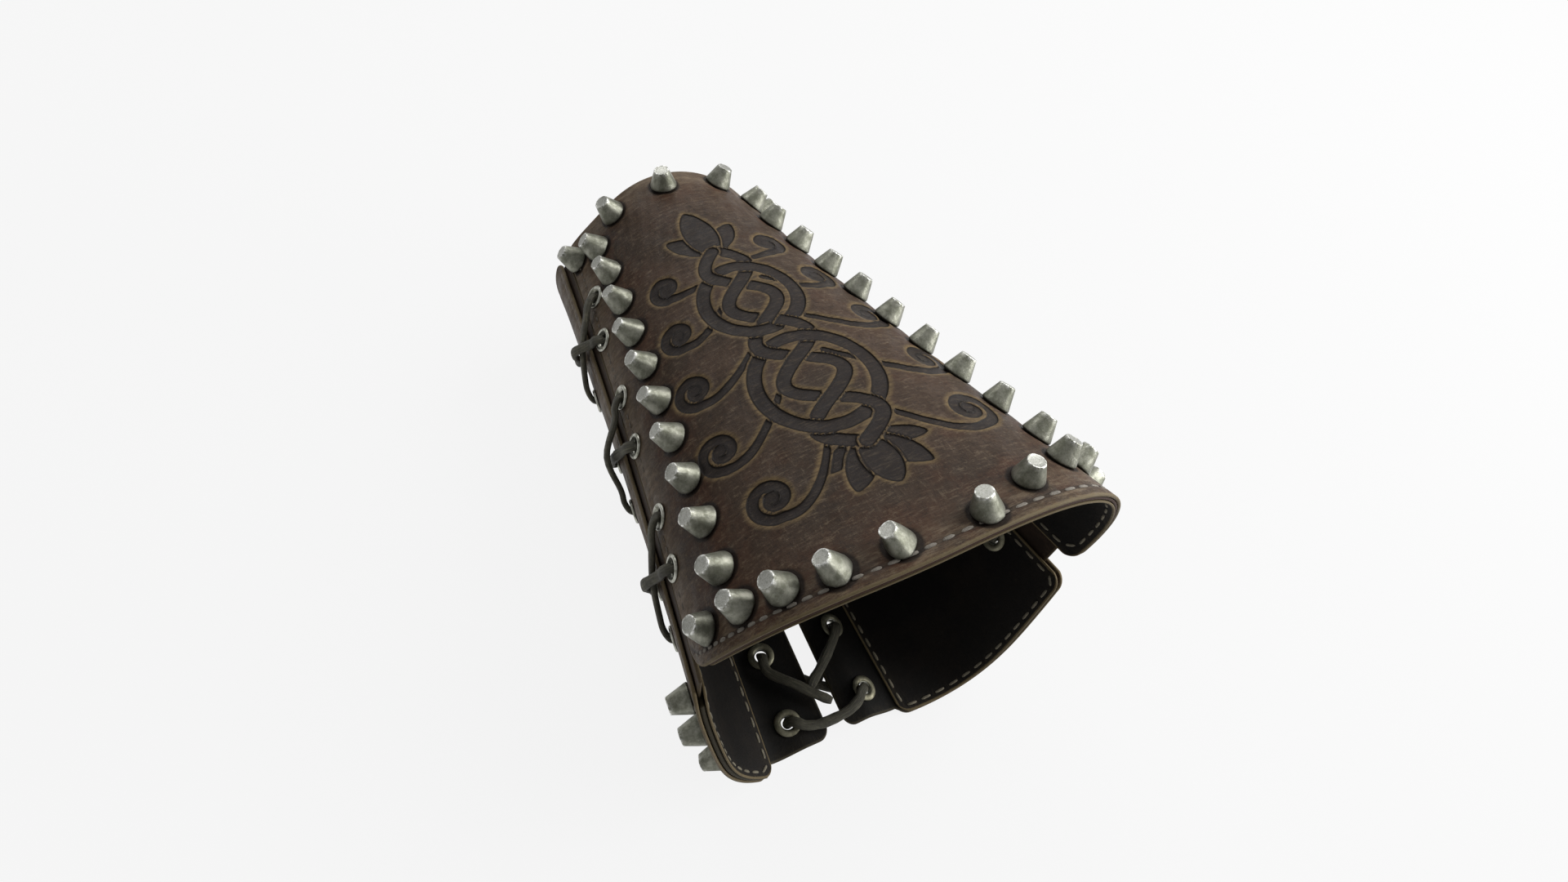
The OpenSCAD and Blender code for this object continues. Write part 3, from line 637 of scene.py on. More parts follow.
def make_piece(name: str, points: Array, faces: Sequence[Array], finish: Finish, body: Optional[Body],
               marks: Marks, nodes: tuple[str, ...]) -> bpy.types.Object:
    """Makes one piece from arrays, sets it on what it rides on, and hides the nodes that it stands for.

    Args:
        name: the piece's name.
        points: places in metres.
        faces: arrays of corner numbers, one array for each number of corners.
        finish: its material.
        body: what it rides on, or None where it rides on none.
        marks: values at each point for the finish to read.
        nodes: nodes of the frame that it stands for.
    Returns:
        The piece.
    """
    points = points.reshape(-1, 3)
    used = np.unique(np.concatenate([f.ravel() for f in faces]))
    number = np.zeros(len(points), dtype=int)
    number[used] = np.arange(len(used))
    mesh = bpy.data.meshes.new(name)
    mesh.from_pydata(points[used].tolist(), [], [row for f in faces for row in number[f].tolist()])
    mesh.polygons.foreach_set("use_smooth", np.ones(len(mesh.polygons), dtype=bool))
    for mark, values in marks.items():
        data = mesh.attributes.new(mark, "FLOAT", "POINT").data
        data.foreach_set("value", values.ravel()[used].astype(np.float32))
    mesh.materials.append(finish)
    mesh.update()
    piece = show(name, mesh)
    if body is not None:
        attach(piece, body.value)
    if nodes:
        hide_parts(*nodes)
    log.info("%s: %d faces", name, len(mesh.polygons))
    return piece


def rounding(x: Array, radius: float) -> Array:
    """How far a corner of this radius draws back at x mm from the side edge."""
    inside = np.maximum(0, radius ** 2 - np.maximum(0, radius - x) ** 2)
    return np.where(x >= radius, 0, radius - np.sqrt(inside))


def spread(start: float, end: float, corner: float, step: float) -> Array:
    """Columns from edge to edge, closer together where a corner or an edge turns.

    Args:
        start, end: the two edges.
        corner: width of each edge zone, taken by equal turns of a quarter circle.
        step: spacing between the edge zones.
    Returns:
        The columns' places.
    """
    turns = corner * (1 - np.cos(np.linspace(0, QUARTER, 11)))
    middle = np.linspace(start + corner, end - corner, max(2, round((end - start - 2 * corner) / step) + 1))
    return np.concatenate([start + turns[:-1], middle, end - turns[:-1][::-1]])


@dataclass
class Sheet:
    """One layer of leather, cut to its edges, holed and with rounded burnished edges.

    The sheet is a grid of columns round the arm and rows along it. Its outer and inner faces
    meet at mid thickness along the edge, each drawn in by a quarter circle there. The outline
    holds the columns' angles and the heights of the wide and the narrow edge.
    """

    name: str
    outline: Line
    top: float
    thickness: float
    finish: Finish
    slot: Slot
    body: Optional[Body]
    holes: Places = ()
    studs: Places = ()
    pressed: Places = ()
    rimmed: bool = False
    press_radius: float = 5.4
    step: float = 1.6
    edge_zone: float = 2.4
    hole_radius: float = 3.0
    stud_radius: float = 5.5
    relief: Optional[Callable[[Array, Array, Marks], Array]] = None
    tooling: Optional[Callable[[Array, Array], Array]] = None

    def press(self, points: Array) -> Array:
        """Presses the outer face flat under each rolled flange, easing out beside it."""
        for foot, (_, _, out) in zip(*seats(self.pressed, self.top)) if self.pressed else ():
            height = (points - foot) @ out
            across = np.linalg.norm(points - foot - height[..., None] * out, axis=-1)
            over = np.maximum(0, height) * ease((self.press_radius - across / MM) / 0.6)
            points = points - over[..., None] * out
        return points

    def build(self) -> bpy.types.Object:
        """Works the grid out and makes the sheet as one closed piece."""
        columns, low, high = self.outline
        length = float(np.median(high - low))
        rows = spread(0.0, length, self.edge_zone, self.step) / length
        a = np.repeat(columns[:, None], len(rows), axis=1)
        y = low[:, None] * (1 - rows) + high[:, None] * rows
        middles = ((v[:-1, :-1] + v[1:, 1:]) / 2 for v in (a, y))
        keep = SLEEVE.nearest(*middles, self.holes) > self.hole_radius
        for at, height in self.holes:
            arc = SLEEVE.arc(a, y)
            across, lengthwise = (a - at) * arc, y - height
            push = np.maximum(1, self.hole_radius / np.maximum(np.hypot(across, lengthwise), 1e-6)) - 1
            a, y = a + across * push / arc, y + lengthwise * push
        arc = SLEEVE.arc(a, y)
        rim = y - low[:, None]
        edge = np.minimum.reduce([rim, high[:, None] - y, (a - columns[0]) * arc, (columns[-1] - a) * arc])
        marks = {"rim": rim if self.rimmed else np.full(a.shape, FAR), "edge": edge,
                 "stud": SLEEVE.nearest(a, y, self.studs) - self.stud_radius,
                 "tool": self.tooling(a, y) if self.tooling else np.full(a.shape, Tooling.outside)}
        r = self.thickness / 2
        fall = r * (1 - np.sqrt(np.clip(1 - (1 - np.clip(edge / r, 0, 1)) ** 2, 0, 1)))
        rise = self.relief(a, y, marks) if self.relief else np.zeros(a.shape)
        outer = self.press(SLEEVE.place(a, y, self.top - fall + rise))
        inner = SLEEVE.place(a, y, self.top - self.thickness + fall)
        t = np.arange(a.size).reshape(a.shape)
        b = t + a.size
        b[0, :], b[-1, :], b[:, 0], b[:, -1] = t[0, :], t[-1, :], t[:, 0], t[:, -1]
        faces = np.concatenate([self.skin(t, keep), self.skin(b, keep)[:, ::-1]] + self.walls(t, b, keep))
        marks = {mark: np.stack([values, values]) for mark, values in marks.items()}
        return make_piece(self.name, np.stack([outer, inner]), [faces], self.finish, self.body,
                          marks, (self.name,))

    @staticmethod
    def skin(index: Array, keep: Array) -> Array:
        """Faces of the grid's kept cells."""
        corners = (index[:-1, :-1], index[1:, :-1], index[1:, 1:], index[:-1, 1:])
        return np.stack([c[keep] for c in corners], axis=-1)

    @staticmethod
    def walls(t: Array, b: Array, keep: Array) -> list[Array]:
        """Walls of the holes, between the outer and the inner face of each border edge.

        Args:
            t, b: corner numbers of the outer and the inner grid.
            keep: which cells are kept.
        Returns:
            Arrays of four corner numbers.
        """
        found = []
        for t, b, keep, ways in ((t, b, keep, (-1, 1)), (t.T, b.T, keep.T, (1, -1))):
            before, after = keep[:-1], keep[1:]
            for mask, way in zip((before & ~after, ~before & after), ways):
                ends, feet = ([g[1:-1, :-1][mask], g[1:-1, 1:][mask]][::way] for g in (t, b))
                found.append(np.stack(ends + feet[::-1], axis=-1))
        return found


def to_angle(millimetres: float, wide: bool = True) -> float:
    """Angle that stands for a length at the wide or the narrow end's right side."""
    return math.degrees(millimetres / (SLEEVE.wide if wide else SLEEVE.narrow)[3])


def side_gap(a: Array, *edges: float, wide: bool) -> Array:
    """Length in mm from the nearest side edge to each column, at the wide or the narrow end."""
    return np.minimum.reduce([np.abs(a - edge) for edge in edges]) / to_angle(1.0, wide)


@dataclass
class Tooling:
    """Cut and blackened ornament down the front: twisted strands through rings, leaves and curls.

    Every band is a centre line with a half width and a height along it. Where two bands meet,
    the higher one shows, so the strands pass over and under each other in turn.
    """

    outside = -20.0  # stands for leather without ornament
    reach: float = 52.0
    strand_half: float = 2.5
    ring_half: float = 2.6
    rings: Rows = ((0.0, -27.0, 21.5), (0.0, 19.5, 18.0))
    twist_start: float = -58.0
    twist_end: float = 49.0
    twist_length: float = 43.0
    swing_wide: float = 12.0
    swing_narrow: float = 7.5
    halo: float = 0.8
    room: float = 8.0
    unrolled: float = 1.04
    ring_squash: float = 0.92
    spiral_turns: float = 1.55
    curls: tuple[tuple[float, ...], ...] = (
        (-35.0, -62.0, 7.5, 7.0, -50.0), (-40.0, -36.0, 7.5, 6.0, -22.0), (-36.0, -8.0, 7.0, 6.0, -2.0),
        (-30.0, 18.0, 6.5, 5.5, 22.0), (-24.0, 42.0, 6.0, 5.0, 36.0),
        (37.0, -58.0, 8.0, 7.0, -44.0), (41.0, -29.0, 7.5, 6.5, -16.0), (36.0, -1.0, 7.0, 6.0, 6.0),
        (30.0, 25.0, 6.5, 5.5, 28.0), (22.0, 48.0, 5.8, 5.0, 40.0))
    top_leaves: Rows = ((0, 27, 6.2), (-42, 20, 4.4), (42, 20, 4.4))
    low_leaves: Rows = ((180, 19, 5.6), (142, 21, 4.8), (218, 21, 4.8), (108, 19, 3.6), (252, 19, 3.6))

    def strand(self, sign: float) -> Line:
        """One strand of the twist: a sine across the arm whose swing shrinks with height."""
        y = np.linspace(self.twist_start, self.twist_end, 180)
        share = (y - self.twist_start) / (self.twist_end - self.twist_start)
        swing = self.swing_wide * (1 - share) + self.swing_narrow * share
        phase = TURN * (y - self.twist_start) / self.twist_length
        points = np.stack([sign * swing * np.sin(phase), y], axis=-1)
        return points, np.full(y.shape, self.strand_half), sign * np.sign(np.cos(phase))

    def ring(self, x: float, y: float, radius: float) -> Line:
        """A ring, a little taller than wide, over the strands in two quarters and under in two."""
        t = np.linspace(0, TURN, 140)
        points = np.stack([x + self.ring_squash * radius * np.cos(t), y + radius * np.sin(t)], axis=-1)
        return points, np.full(t.shape, self.ring_half), 1.5 * np.sign(np.sin(2 * t))

    def curl(self, x: float, y: float, size: float, lead: float, root: float) -> Line:
        """A tapering stem from beside the twist that rolls up in a spiral.

        Args:
            x, y: middle of the spiral.
            size: its outer radius.
            lead: how far the stem swings out before it rolls up.
            root: height where the stem begins beside the twist.
        Returns:
            Centre line, half widths and heights.
        """
        side = math.copysign(1.0, x)
        t = np.linspace(0, 1, 70)
        turn, radius = TURN * self.spiral_turns * t, size * (1 - 0.9 * t)
        roll = np.stack([x + side * radius * np.sin(turn), y - radius * np.cos(turn)], axis=-1)
        start = np.array([side * self.swing_wide * 0.75, root])
        bend = np.array([side * (abs(x) - lead * 1.6), y - size - lead * 0.6])
        s = np.linspace(0, 1, 30)[:-1, None]
        stem = (1 - s) ** 2 * start + 2 * s * (1 - s) * bend + s ** 2 * roll[0]
        share = np.linspace(0, 1, len(stem) + len(roll))
        half = 1.0 + 0.9 * np.sin(math.pi * np.clip(share * 1.15, 0, 1)) + 1.3 * np.clip(share * 9 - 8, 0, 1)
        return np.concatenate([stem, roll]), half, np.full(len(share), -3.0)

    def leaf(self, y: float, lean: float, length: float, half: float) -> Line:
        """A pointed leaf: a straight spine whose half width is a sine of the way along it."""
        t = np.linspace(0, 1, 40)
        spine = np.stack([length * t * math.sin(math.radians(lean)),
                          y + length * t * math.cos(math.radians(lean))], axis=-1)
        return spine, half * np.sin(math.pi * np.clip(t * 0.94 + 0.05, 0, 1)) ** 0.8, np.full(t.shape, -4.0)

    def bands(self) -> list[Line]:
        """All the bands of the ornament, in the order in which they are cut."""
        return ([self.strand(1), self.strand(-1)] + [self.ring(*ring) for ring in self.rings]
                + [self.curl(*curl) for curl in self.curls]
                + [self.leaf(self.twist_end - 1, *leaf) for leaf in self.top_leaves]
                + [self.leaf(self.twist_start + 1, *leaf) for leaf in self.low_leaves])

    def field(self, a: Array, y: Array) -> Array:
        """Signed distance in mm to the ornament's outline, above 0 inside a band.

        Each band gives half width less distance to its centre line. Where two meet, the lower
        one is the lesser of its own value and the distance to the higher one less the halo, so
        it stops short of it, and the greater of the two counts. Places are unrolled to mm
        across and along, by the radius at the top.
        """
        near = np.abs(a) < self.reach
        y = y[near]
        x = np.radians(a[near]) * SLEEVE.radius(np.zeros_like(y), y) * self.unrolled
        best, level = np.full(x.shape, self.outside), np.full(x.shape, -FAR)
        for points, half, height in self.bands():
            box = np.all([(v > line.min() - self.room) & (v < line.max() + self.room)
                          for v, line in zip((x, y), points.T)], axis=0)
            value, rank = self.band(x[box], y[box], points, half, height)
            old, seat = best[box], level[box]
            over = rank > seat
            best[box] = np.where(over, np.maximum(value, np.minimum(old, -value - self.halo)),
                                 np.maximum(old, np.minimum(value, -old - self.halo)))
            level[box] = np.where((over & (value > -self.halo)) | (value > old), rank, seat)
        whole = np.full(a.shape, self.outside)
        whole[near] = best
        return whole

    @staticmethod
    def band(x: Array, y: Array, points: Array, half: Array, height: Array) -> tuple[Array, Array]:
        """Half width less distance to a centre line, and the line's height there."""
        value, rank = np.full(x.shape, -FAR), np.zeros(x.shape)
        for i in range(len(points) - 1):
            p, d = points[i], points[i + 1] - points[i]
            t = np.clip(((x - p[0]) * d[0] + (y - p[1]) * d[1]) / max(TINY, float(d @ d)), 0, 1)
            here = half[i] * (1 - t) + half[i + 1] * t - np.hypot(x - p[0] - t * d[0], y - p[1] - t * d[1])
            better = here > value
            value = np.where(better, here, value)
            rank = np.where(better, height[i] * (1 - t) + height[i + 1] * t, rank)
        return value, rank


def furrow(x: Array, at: float, depth: float, width: float = 0.75) -> Array:
    """A groove, or a ridge where the depth is below 0: a bell curve about one distance."""
    return -depth * np.exp(-((x - at) / width) ** 2)


def seated(marks: Marks, depth: float) -> Array:
    """How far the leather is pressed in under the studs."""
    return -depth * ease((1.4 - marks["stud"]) / 1.6)


@dataclass
class FrontPanel:
    """The front: tooled cover, middle leather, lining and the tongues at its sides."""

    fine_reach: float = 45.0
    fine_step: float = 0.72
    side_step: float = 1.15
    tool_depth: float = 0.38
    tongue_gap: float = 0.15
    tongue_depth: float = 0.05
    tooling: Tooling = field(default_factory=Tooling)

    def outline(self, inset: float, step: float, fine: bool = False) -> Line:
        """Columns and both edges of a layer of the front.

        Args:
            inset: how far the layer lies back inside the cover's edge.
            step: column spacing in degrees.
            fine: whether the tooled middle takes closer columns.
        Returns:
            Angles, wide edge and narrow edge.
        """
        start, end = PATTERN.front_left + to_angle(inset), PATTERN.front_right - to_angle(inset)
        a = spread(start, end, to_angle(PATTERN.corner_left), step)
        if fine:
            middle = np.arange(-self.fine_reach, self.fine_reach, self.fine_step)
            a = np.concatenate([a[a < -self.fine_reach - 0.3], middle, a[a > self.fine_reach + 0.3]])
        low = np.where(a < 0, rounding(side_gap(a, start, wide=True), PATTERN.corner_left),
                       rounding(side_gap(a, end, wide=True), PATTERN.corner))
        high = rounding(side_gap(a, start, end, wide=False), PATTERN.corner)
        return a, PATTERN.front_wide(a) + inset + low, PATTERN.front_narrow(a) - inset - high

    def wear(self, a: Array, y: Array, marks: Marks) -> Array:
        """Relief of the cover: sunk tooling, stitch channels, seats of studs, soft unevenness."""
        margin = (a - PATTERN.front_left) * SLEEVE.arc(a, y)
        tool, rim = marks["tool"], marks["rim"]
        sunk = -self.tool_depth * ease((tool + 0.35) / 0.9) + furrow(tool, -1.3, -0.16, 1.0)
        channel = furrow(rim, 4.4, 0.28) + furrow(margin, 4.2, 0.2, 0.8) * ease((rim - 5) / 4)
        waves = 0.14 * np.sin(a * 0.31 + 0.05 * y) * np.sin(y * 0.19 + 0.6)
        waves += 0.07 * np.sin(a * 0.83 - y * 0.37)
        return (sunk + channel + seated(marks, 0.3) + waves) * ease(marks["edge"] / 2.0)

    def build(self) -> None:
        """Makes the three layers and the two tongues."""
        p = PATTERN
        eyelets = p.front_left_eyelets + p.front_right_eyelets
        Sheet("front_cover", self.outline(0, self.side_step, True), 0.0, p.cover_t, FINISHES.outer,
              Slot.OUTER, Body.FRONT, eyelets, p.front_studs(), rimmed=True, step=0.95, relief=self.wear,
              tooling=self.tooling.field).build()
        Sheet("front_core", self.outline(0.3, 2.0), p.core_top, p.core_t, FINISHES.core, Slot.INNER,
              Body.FRONT, eyelets, step=2.4).build()
        Sheet("front_lining", self.outline(0.1, 1.7), p.lining_top, p.lining_t, FINISHES.lining, Slot.LINING,
              Body.FRONT, eyelets, step=2.0).build()
        gap, tuck = self.tongue_gap, p.tuck
        self.tongue("front_right_tongue", p.front_right + gap, p.right_crease + tuck, Body.FRONT)
        left = self.tongue("front_left_tongue", p.left_crease - tuck, p.front_left - gap, None)
        Hinge.LEFT_CREASE.bend(left, 0.0)

    def tongue(self, name: str, start: float, end: float, body: Optional[Body]) -> bpy.types.Object:
        """A strip of single leather between the front and a back panel's slot."""
        a = spread(start, end, to_angle(1.2), 0.7)
        low, high = (y * np.ones(len(a)) for y in (PATTERN.tongue_wide_y, PATTERN.tongue_narrow_y))
        return Sheet(name, (a, low, high), -self.tongue_depth, PATTERN.cover_t, FINISHES.tongue, Slot.OUTER,
                     body, step=1.8).build()


class Hinge(Enum):
    """Creases that bend: angle, bodies before and after, axis, and where the bend starts and ends."""

    LEFT_CREASE = (-77.5, Body.FRONT, Body.LEFT, (-0.145, -0.976, 0.161), -5.0, 3.0)
    BACK_SEAM = (193.7, Body.LEFT, Body.RIGHT, (0.028, 1.0, -0.008), -6.5, 6.5)

    def bend(self, piece: bpy.types.Object, y: float) -> None:
        """Bakes a finished piece's place into its mesh; the crease's two ends at its middle height are worked
        out, but the piece is not bent.
        """
        angle, before, after, axis, start, end = self.value
        first, last = (SLEEVE.place(angle - turned, y, 0.0) for turned in (start, end))
        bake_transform(piece)


@dataclass
class BackPanel:
    """One back panel: cover, flap as the middle layer, and lining."""

    body: Body
    crease: float
    rear: float
    seam: float
    studs: Places
    side_eyelets: Places
    rear_eyelets: Places
    cover_step: float = 1.3

    def outline(self, inset: float, step: float) -> Line:
        """Columns and both edges of the cover or the lining, drawn in by an inset."""
        start, end = sorted((self.crease, self.rear))
        a, low, high = self.cut(start + to_angle(inset), end - to_angle(inset), step)
        return a, PATTERN.back_wide(a) + inset + low, PATTERN.back_narrow_y - inset - high

    @staticmethod
    def cut(start: float, end: float, step: float) -> Line:
        """Columns between two side edges, and how far the corners draw both ends back."""
        a = spread(start, end, to_angle(PATTERN.corner), step)
        return (a, *(rounding(side_gap(a, start, end, wide=wide), PATTERN.corner) for wide in (True, False)))

    def flap_outline(self, step: float) -> Line:
        """Columns and both edges of the middle layer, which comes out as the flap."""
        flip = 1 if self.crease > 0 else -1
        start, end = sorted((self.crease + flip * (PATTERN.tuck + PATTERN.slot_end), self.seam))
        a, low, high = self.cut(start, end, step)
        x = flip * (self.rear - a) / PATTERN.flap_blend + 0.3
        under, out = ease(x), x < 0
        wide = PATTERN.flap_wide_y * (1 - under) + (PATTERN.back_wide(a) + 0.3) * under
        narrow = PATTERN.flap_narrow_y * (1 - under) + (PATTERN.back_narrow_y - 0.3) * under
        return a, wide + np.where(out, low, 0), narrow - np.where(out, high, 0)

    @staticmethod
    def wear(a: Array, y: Array, marks: Marks) -> Array:
        """Relief of the cover: stitch channel, seats of studs and soft unevenness."""
        waves = 0.12 * np.sin(a * 0.27 + 0.06 * y) * np.sin(y * 0.17 + 0.3)
        return (furrow(marks["edge"], 3.2, 0.25) + seated(marks, 0.25) + waves) * ease(marks["edge"] / 2.0)

    def build(self) -> None:
        """Makes the cover, the flap and the lining."""
        p, name = PATTERN, self.body.value
        Sheet(f"{name}_cover", self.outline(0, self.cover_step), p.proud, p.cover_t, FINISHES.outer,
              Slot.OUTER, self.body, self.side_eyelets, self.studs, rimmed=True, step=1.5,
              relief=self.wear).build()
        Sheet(f"{name}_flap", self.flap_outline(1.5), p.flap_top, p.flap_t, FINISHES.flap, Slot.INNER,
              self.body, self.side_eyelets + self.rear_eyelets, pressed=self.rear_eyelets, step=1.7).build()
        Sheet(f"{name}_lining", self.outline(0.1, 1.5), p.back_lining_top, p.lining_t, FINISHES.lining,
              Slot.LINING, self.body, self.side_eyelets, step=1.8).build()


def seats(places: Places, depth: float) -> tuple[Array, Array]:
    """Foot points and frames of hardware on the leather.

    Args:
        places: angle and height of each.
        depth: depth of the face it stands on.
    Returns:
        Points in metres, and for each a matrix whose rows are across, along and outwards.
    """
    a, y = np.array(places, dtype=float).T
    out = SLEEVE.turn(SLEEVE.outward(a, y))
    lengthwise = square(SLEEVE.turn(SLEEVE.face(a, y + 1) - SLEEVE.face(a, y)), out)
    return SLEEVE.place(a, y, depth), np.stack([np.cross(lengthwise, out), lengthwise, out], axis=1)


def revolve_faces(copies: int, rows: int, around: int, ring: bool) -> list[Array]:
    """Faces of turned shapes laid out as copies, rows and points around.

    Args:
        copies: how many shapes.
        rows: points of the profile.
        around: points of a turn.
        ring: whether the profile is closed; if not, flat ends close the shape.
    Returns:
        Arrays of four corner numbers, and of one turn's numbers for the ends.
    """
    index = np.arange(copies * rows * around).reshape(copies, rows, around)
    low, high = (index, np.roll(index, -1, axis=1)) if ring else (index[:, :-1], index[:, 1:])
    quads = np.stack([low, high, np.roll(high, -1, axis=2), np.roll(low, -1, axis=2)], axis=-1).reshape(-1, 4)
    return [quads] if ring else [quads, index[:, 0, :], index[:, -1, ::-1]]


def fasten(name: str, local: Array, groups: Sequence[tuple[Places, float]], ring: bool, finish: Finish,
           body: Body, marks: Marks) -> None:
    """Fastens turned shapes to the leather, as one piece.

    Args:
        name: the piece's name, which is also its node's.
        local: places in mm about each shape's foot, by row and point around.
        groups: places with the depth of the face they stand on.
        ring: whether the profile is closed.
        finish: material.
        body: what they ride on.
        marks: values at each point for the finish to read.
    """
    feet, frames = (np.concatenate(v) for v in zip(*(seats(places, depth) for places, depth in groups)))
    points = feet[:, None, None] + (local * MM) @ frames[:, None]
    make_piece(name, points, revolve_faces(*points.shape[:3], ring), finish, body, marks, (name,))


@dataclass
class Studs:
    """Cast cone studs. Each is a turned profile, knocked a little out of round."""

    base: float = 10.5
    crown: float = 5.8
    height: float = 7.7
    hollow: float = 0.14
    around: int = 40
    seed: int = 7
    dents: int = 4
    knocks: Places = ((2, 0.016), (3, 0.012), (5, 0.009), (9, 0.007))
    wide_leans: Places = ((2.2, -0.3), (0, 0), (-1.7, 0.5), (-2.5, 2.0), (-2.8, 2.1), (-1.2, 1.2),
                          (-0.6, -1.0))
    narrow_leans: Places = ((-0.7, 1.9), (-1.1, 2.1), (0.4, 0.1), (-0.7, -1.1))
    column_leans: Places = ((-0.2, 2.0), (-0.1, 1.7), (-1.0, 1.5), (-0.8, 0.8), (-0.7, 0.3), (-1.3, 1.2),
                            (-0.4, 0), (-1.2, 0), (-1.2, -0.5))

    def profile(self) -> Array:
        """Radius, height and the marks worn (rim wear and its painted highlight), crown and foot (painted
        shade with grime) down the profile from the crown.
        """
        top, base, h = self.crown / 2, self.base / 2, self.height
        rows = [(0.2, h - self.hollow, 0.0, 1.0, 0.0), (1.3, h - self.hollow, 0.0, 1.0, 0.0),
                (top - 0.7, h - self.hollow, 0.0, 1.0, 0.0), (top - 0.36, h - 0.04, 0.45, 0.8, 0.0),
                (top - 0.14, h, 1.0, 0.3, 0.0), (top + 0.03, h - 0.1, 1.0, 0.0, 0.0),
                (top + 0.12, h - 0.32, 0.5, 0.0, 0.0)]
        rows += [(top + 0.14 + (base - top - 0.2) * t, h - 0.45 - (h - 1.35) * t,
                  max(0.0, 0.35 - 3.0 * t), 0.0, max(0.0, 2.2 * t - 1.7)) for t in np.linspace(0.04, 1, 8)]
        rows += [(base + 0.02, 0.55, 0.1, 0.0, 0.6), (base - 0.02, 0.2, 0.0, 0.0, 1.0),
                 (base - 0.25, 0.02, 0.0, 0.0, 1.0), (base - 0.7, -0.4, 0.0, 0.0, 1.0)]
        return np.array(rows)

    def build(self, name: str, places: Places, depth: float, body: Body, leans: Places = ()) -> None:
        """Makes one row of studs.

        Args:
            name: the piece's name, which is also its node's.
            places: angle and height of each stud.
            depth: depth of the leather's face.
            body: what the studs ride on.
            leans: how far each crown leans across and along, in mm; the rest stand straight.
        """
        rows, k = self.profile(), len(places)
        rng = np.random.default_rng(self.seed + len(name) + k)
        turn = round_turn(self.around)
        r, z, *marks = (rows[None, :, i, None] * np.ones((k, 1, self.around)) for i in range(rows.shape[1]))
        rise = rows[None, :, 1, None]
        for waves, size in self.knocks:
            phase = rng.uniform(0, TURN, (k, 1, 1)) + rise * rng.uniform(-0.3, 0.3, (k, 1, 1))
            r *= 1 + size * rng.uniform(0.4, 1.3, (k, 1, 1)) * np.sin(waves * turn + phase)
        for _ in range(self.dents):
            flat = np.cos(turn - rng.uniform(0, TURN, (k, 1, 1)))
            r *= 1 - rng.uniform(0.02, 0.07, (k, 1, 1)) * np.maximum(0, flat) ** 14
        share = rise / self.height
        lean = rng.uniform(-0.3, 0.3, (k, 2, 1, 1))
        lean[:len(leans)] += np.array(leans).reshape(-1, 2, 1, 1)
        tilt = rng.uniform(-0.045, 0.045, (k, 2, 1, 1)) - 0.7 * lean / self.height
        x, y = r * np.cos(turn), r * np.sin(turn)
        drawn = 0.014 * (lean[:, 0] * x + lean[:, 1] * y)
        x, y = x - drawn * lean[:, 0] + lean[:, 0] * share, y - drawn * lean[:, 1] + lean[:, 1] * share
        z = z + (tilt[:, 0] * x + tilt[:, 1] * y) * share ** 2
        fasten(name, np.stack([x, y, z], axis=-1), [(places, depth)], False, FINISHES.stud, body,
               dict(zip(("worn", "crown", "foot"), marks)))


@dataclass
class Eyelets:
    """Rolled eyelets outside and dull washers inside, turned from closed profiles."""

    bore: float = 2.4
    flange: float = 4.5
    roll: float = 0.72
    rise: float = 0.95
    roll_foot: float = 0.3
    wall: float = 0.4
    washer_r: float = 5.0
    washer_t: float = 0.5
    washer_seat: float = 0.3
    around: int = 36

    def rolled(self, depth: float) -> list[Place]:
        """Profile of an eyelet: barrel, dished throat and a rolled rim."""
        b, f, out, foot = self.bore, self.flange, self.bore + self.wall, self.roll_foot
        turns = math.pi * np.concatenate([np.linspace(0.9, 0.3, 7), np.linspace(0.15, -0.05, 4)])
        rim = [(f - self.roll + self.roll * math.cos(t), foot + (self.rise - foot) * math.sin(t))
               for t in turns]
        return [(out, -depth), (b, -depth), (b, -0.6), (b + 0.06, -0.1), (b + 0.3, 0.18), *rim,
                (f - 0.15, 0.02), (out, 0.02)]

    def washer(self) -> list[Place]:
        """Profile of a washer with soft edges, its face towards the arm."""
        b, f, s = self.bore + self.wall, self.washer_r, self.washer_seat
        low = -s - self.washer_t
        return [(b - 0.25, -s), (b - 0.25, low), (b + 0.1, low - 0.3), (b + 0.6, low - 0.42),
                (f - 0.7, low - 0.3), (f - 0.2, low + 0.05), (f, -s - self.washer_t / 2), (f - 0.1, -s)]

    def build(self) -> None:
        """Makes all eyelets and washers."""
        p = PATTERN
        seam = self.washer_seat + self.washer_t
        front, side, rear = seam - p.front_inside, p.proud - p.back_inside + seam, p.flap_t + seam
        t = round_turn(self.around)
        rows = [(name, [(places, face)], self.rolled(depth), FINISHES.eyelet, body)
                for name, places, face, depth, body in (
                    ("front_left_eyelets", p.front_left_eyelets, 0.0, front, Body.FRONT),
                    ("front_right_eyelets", p.front_right_eyelets, 0.0, front, Body.FRONT),
                    ("back_left_side_eyelets", p.left_side_eyelets, p.proud, side, Body.LEFT),
                    ("back_right_side_eyelets", p.right_side_eyelets, p.proud, side, Body.RIGHT),
                    ("back_left_rear_eyelets", p.left_rear_eyelets, p.flap_top, rear, Body.LEFT),
                    ("back_right_rear_eyelets", p.right_rear_eyelets, p.flap_top, rear, Body.RIGHT))]
        washers = {Body.FRONT: [(p.front_left_eyelets + p.front_right_eyelets, p.front_inside)],
                   Body.LEFT: [(p.left_side_eyelets, p.back_inside), (p.left_rear_eyelets, p.flap_inside)],
                   Body.RIGHT: [(p.right_side_eyelets, p.back_inside), (p.right_rear_eyelets, p.flap_inside)]}
        rows += [(f"{body.value}_eyelet_washers", groups, self.washer(), FINISHES.washer, body)
                 for body, groups in washers.items()]
        for name, groups, profile, finish, body in rows:
            r, z = np.array(profile).T[:, :, None]
            local = np.stack([r * np.cos(t), r * np.sin(t), z + 0 * t], axis=-1)
            fasten(name, local, groups, True, finish, body, {})


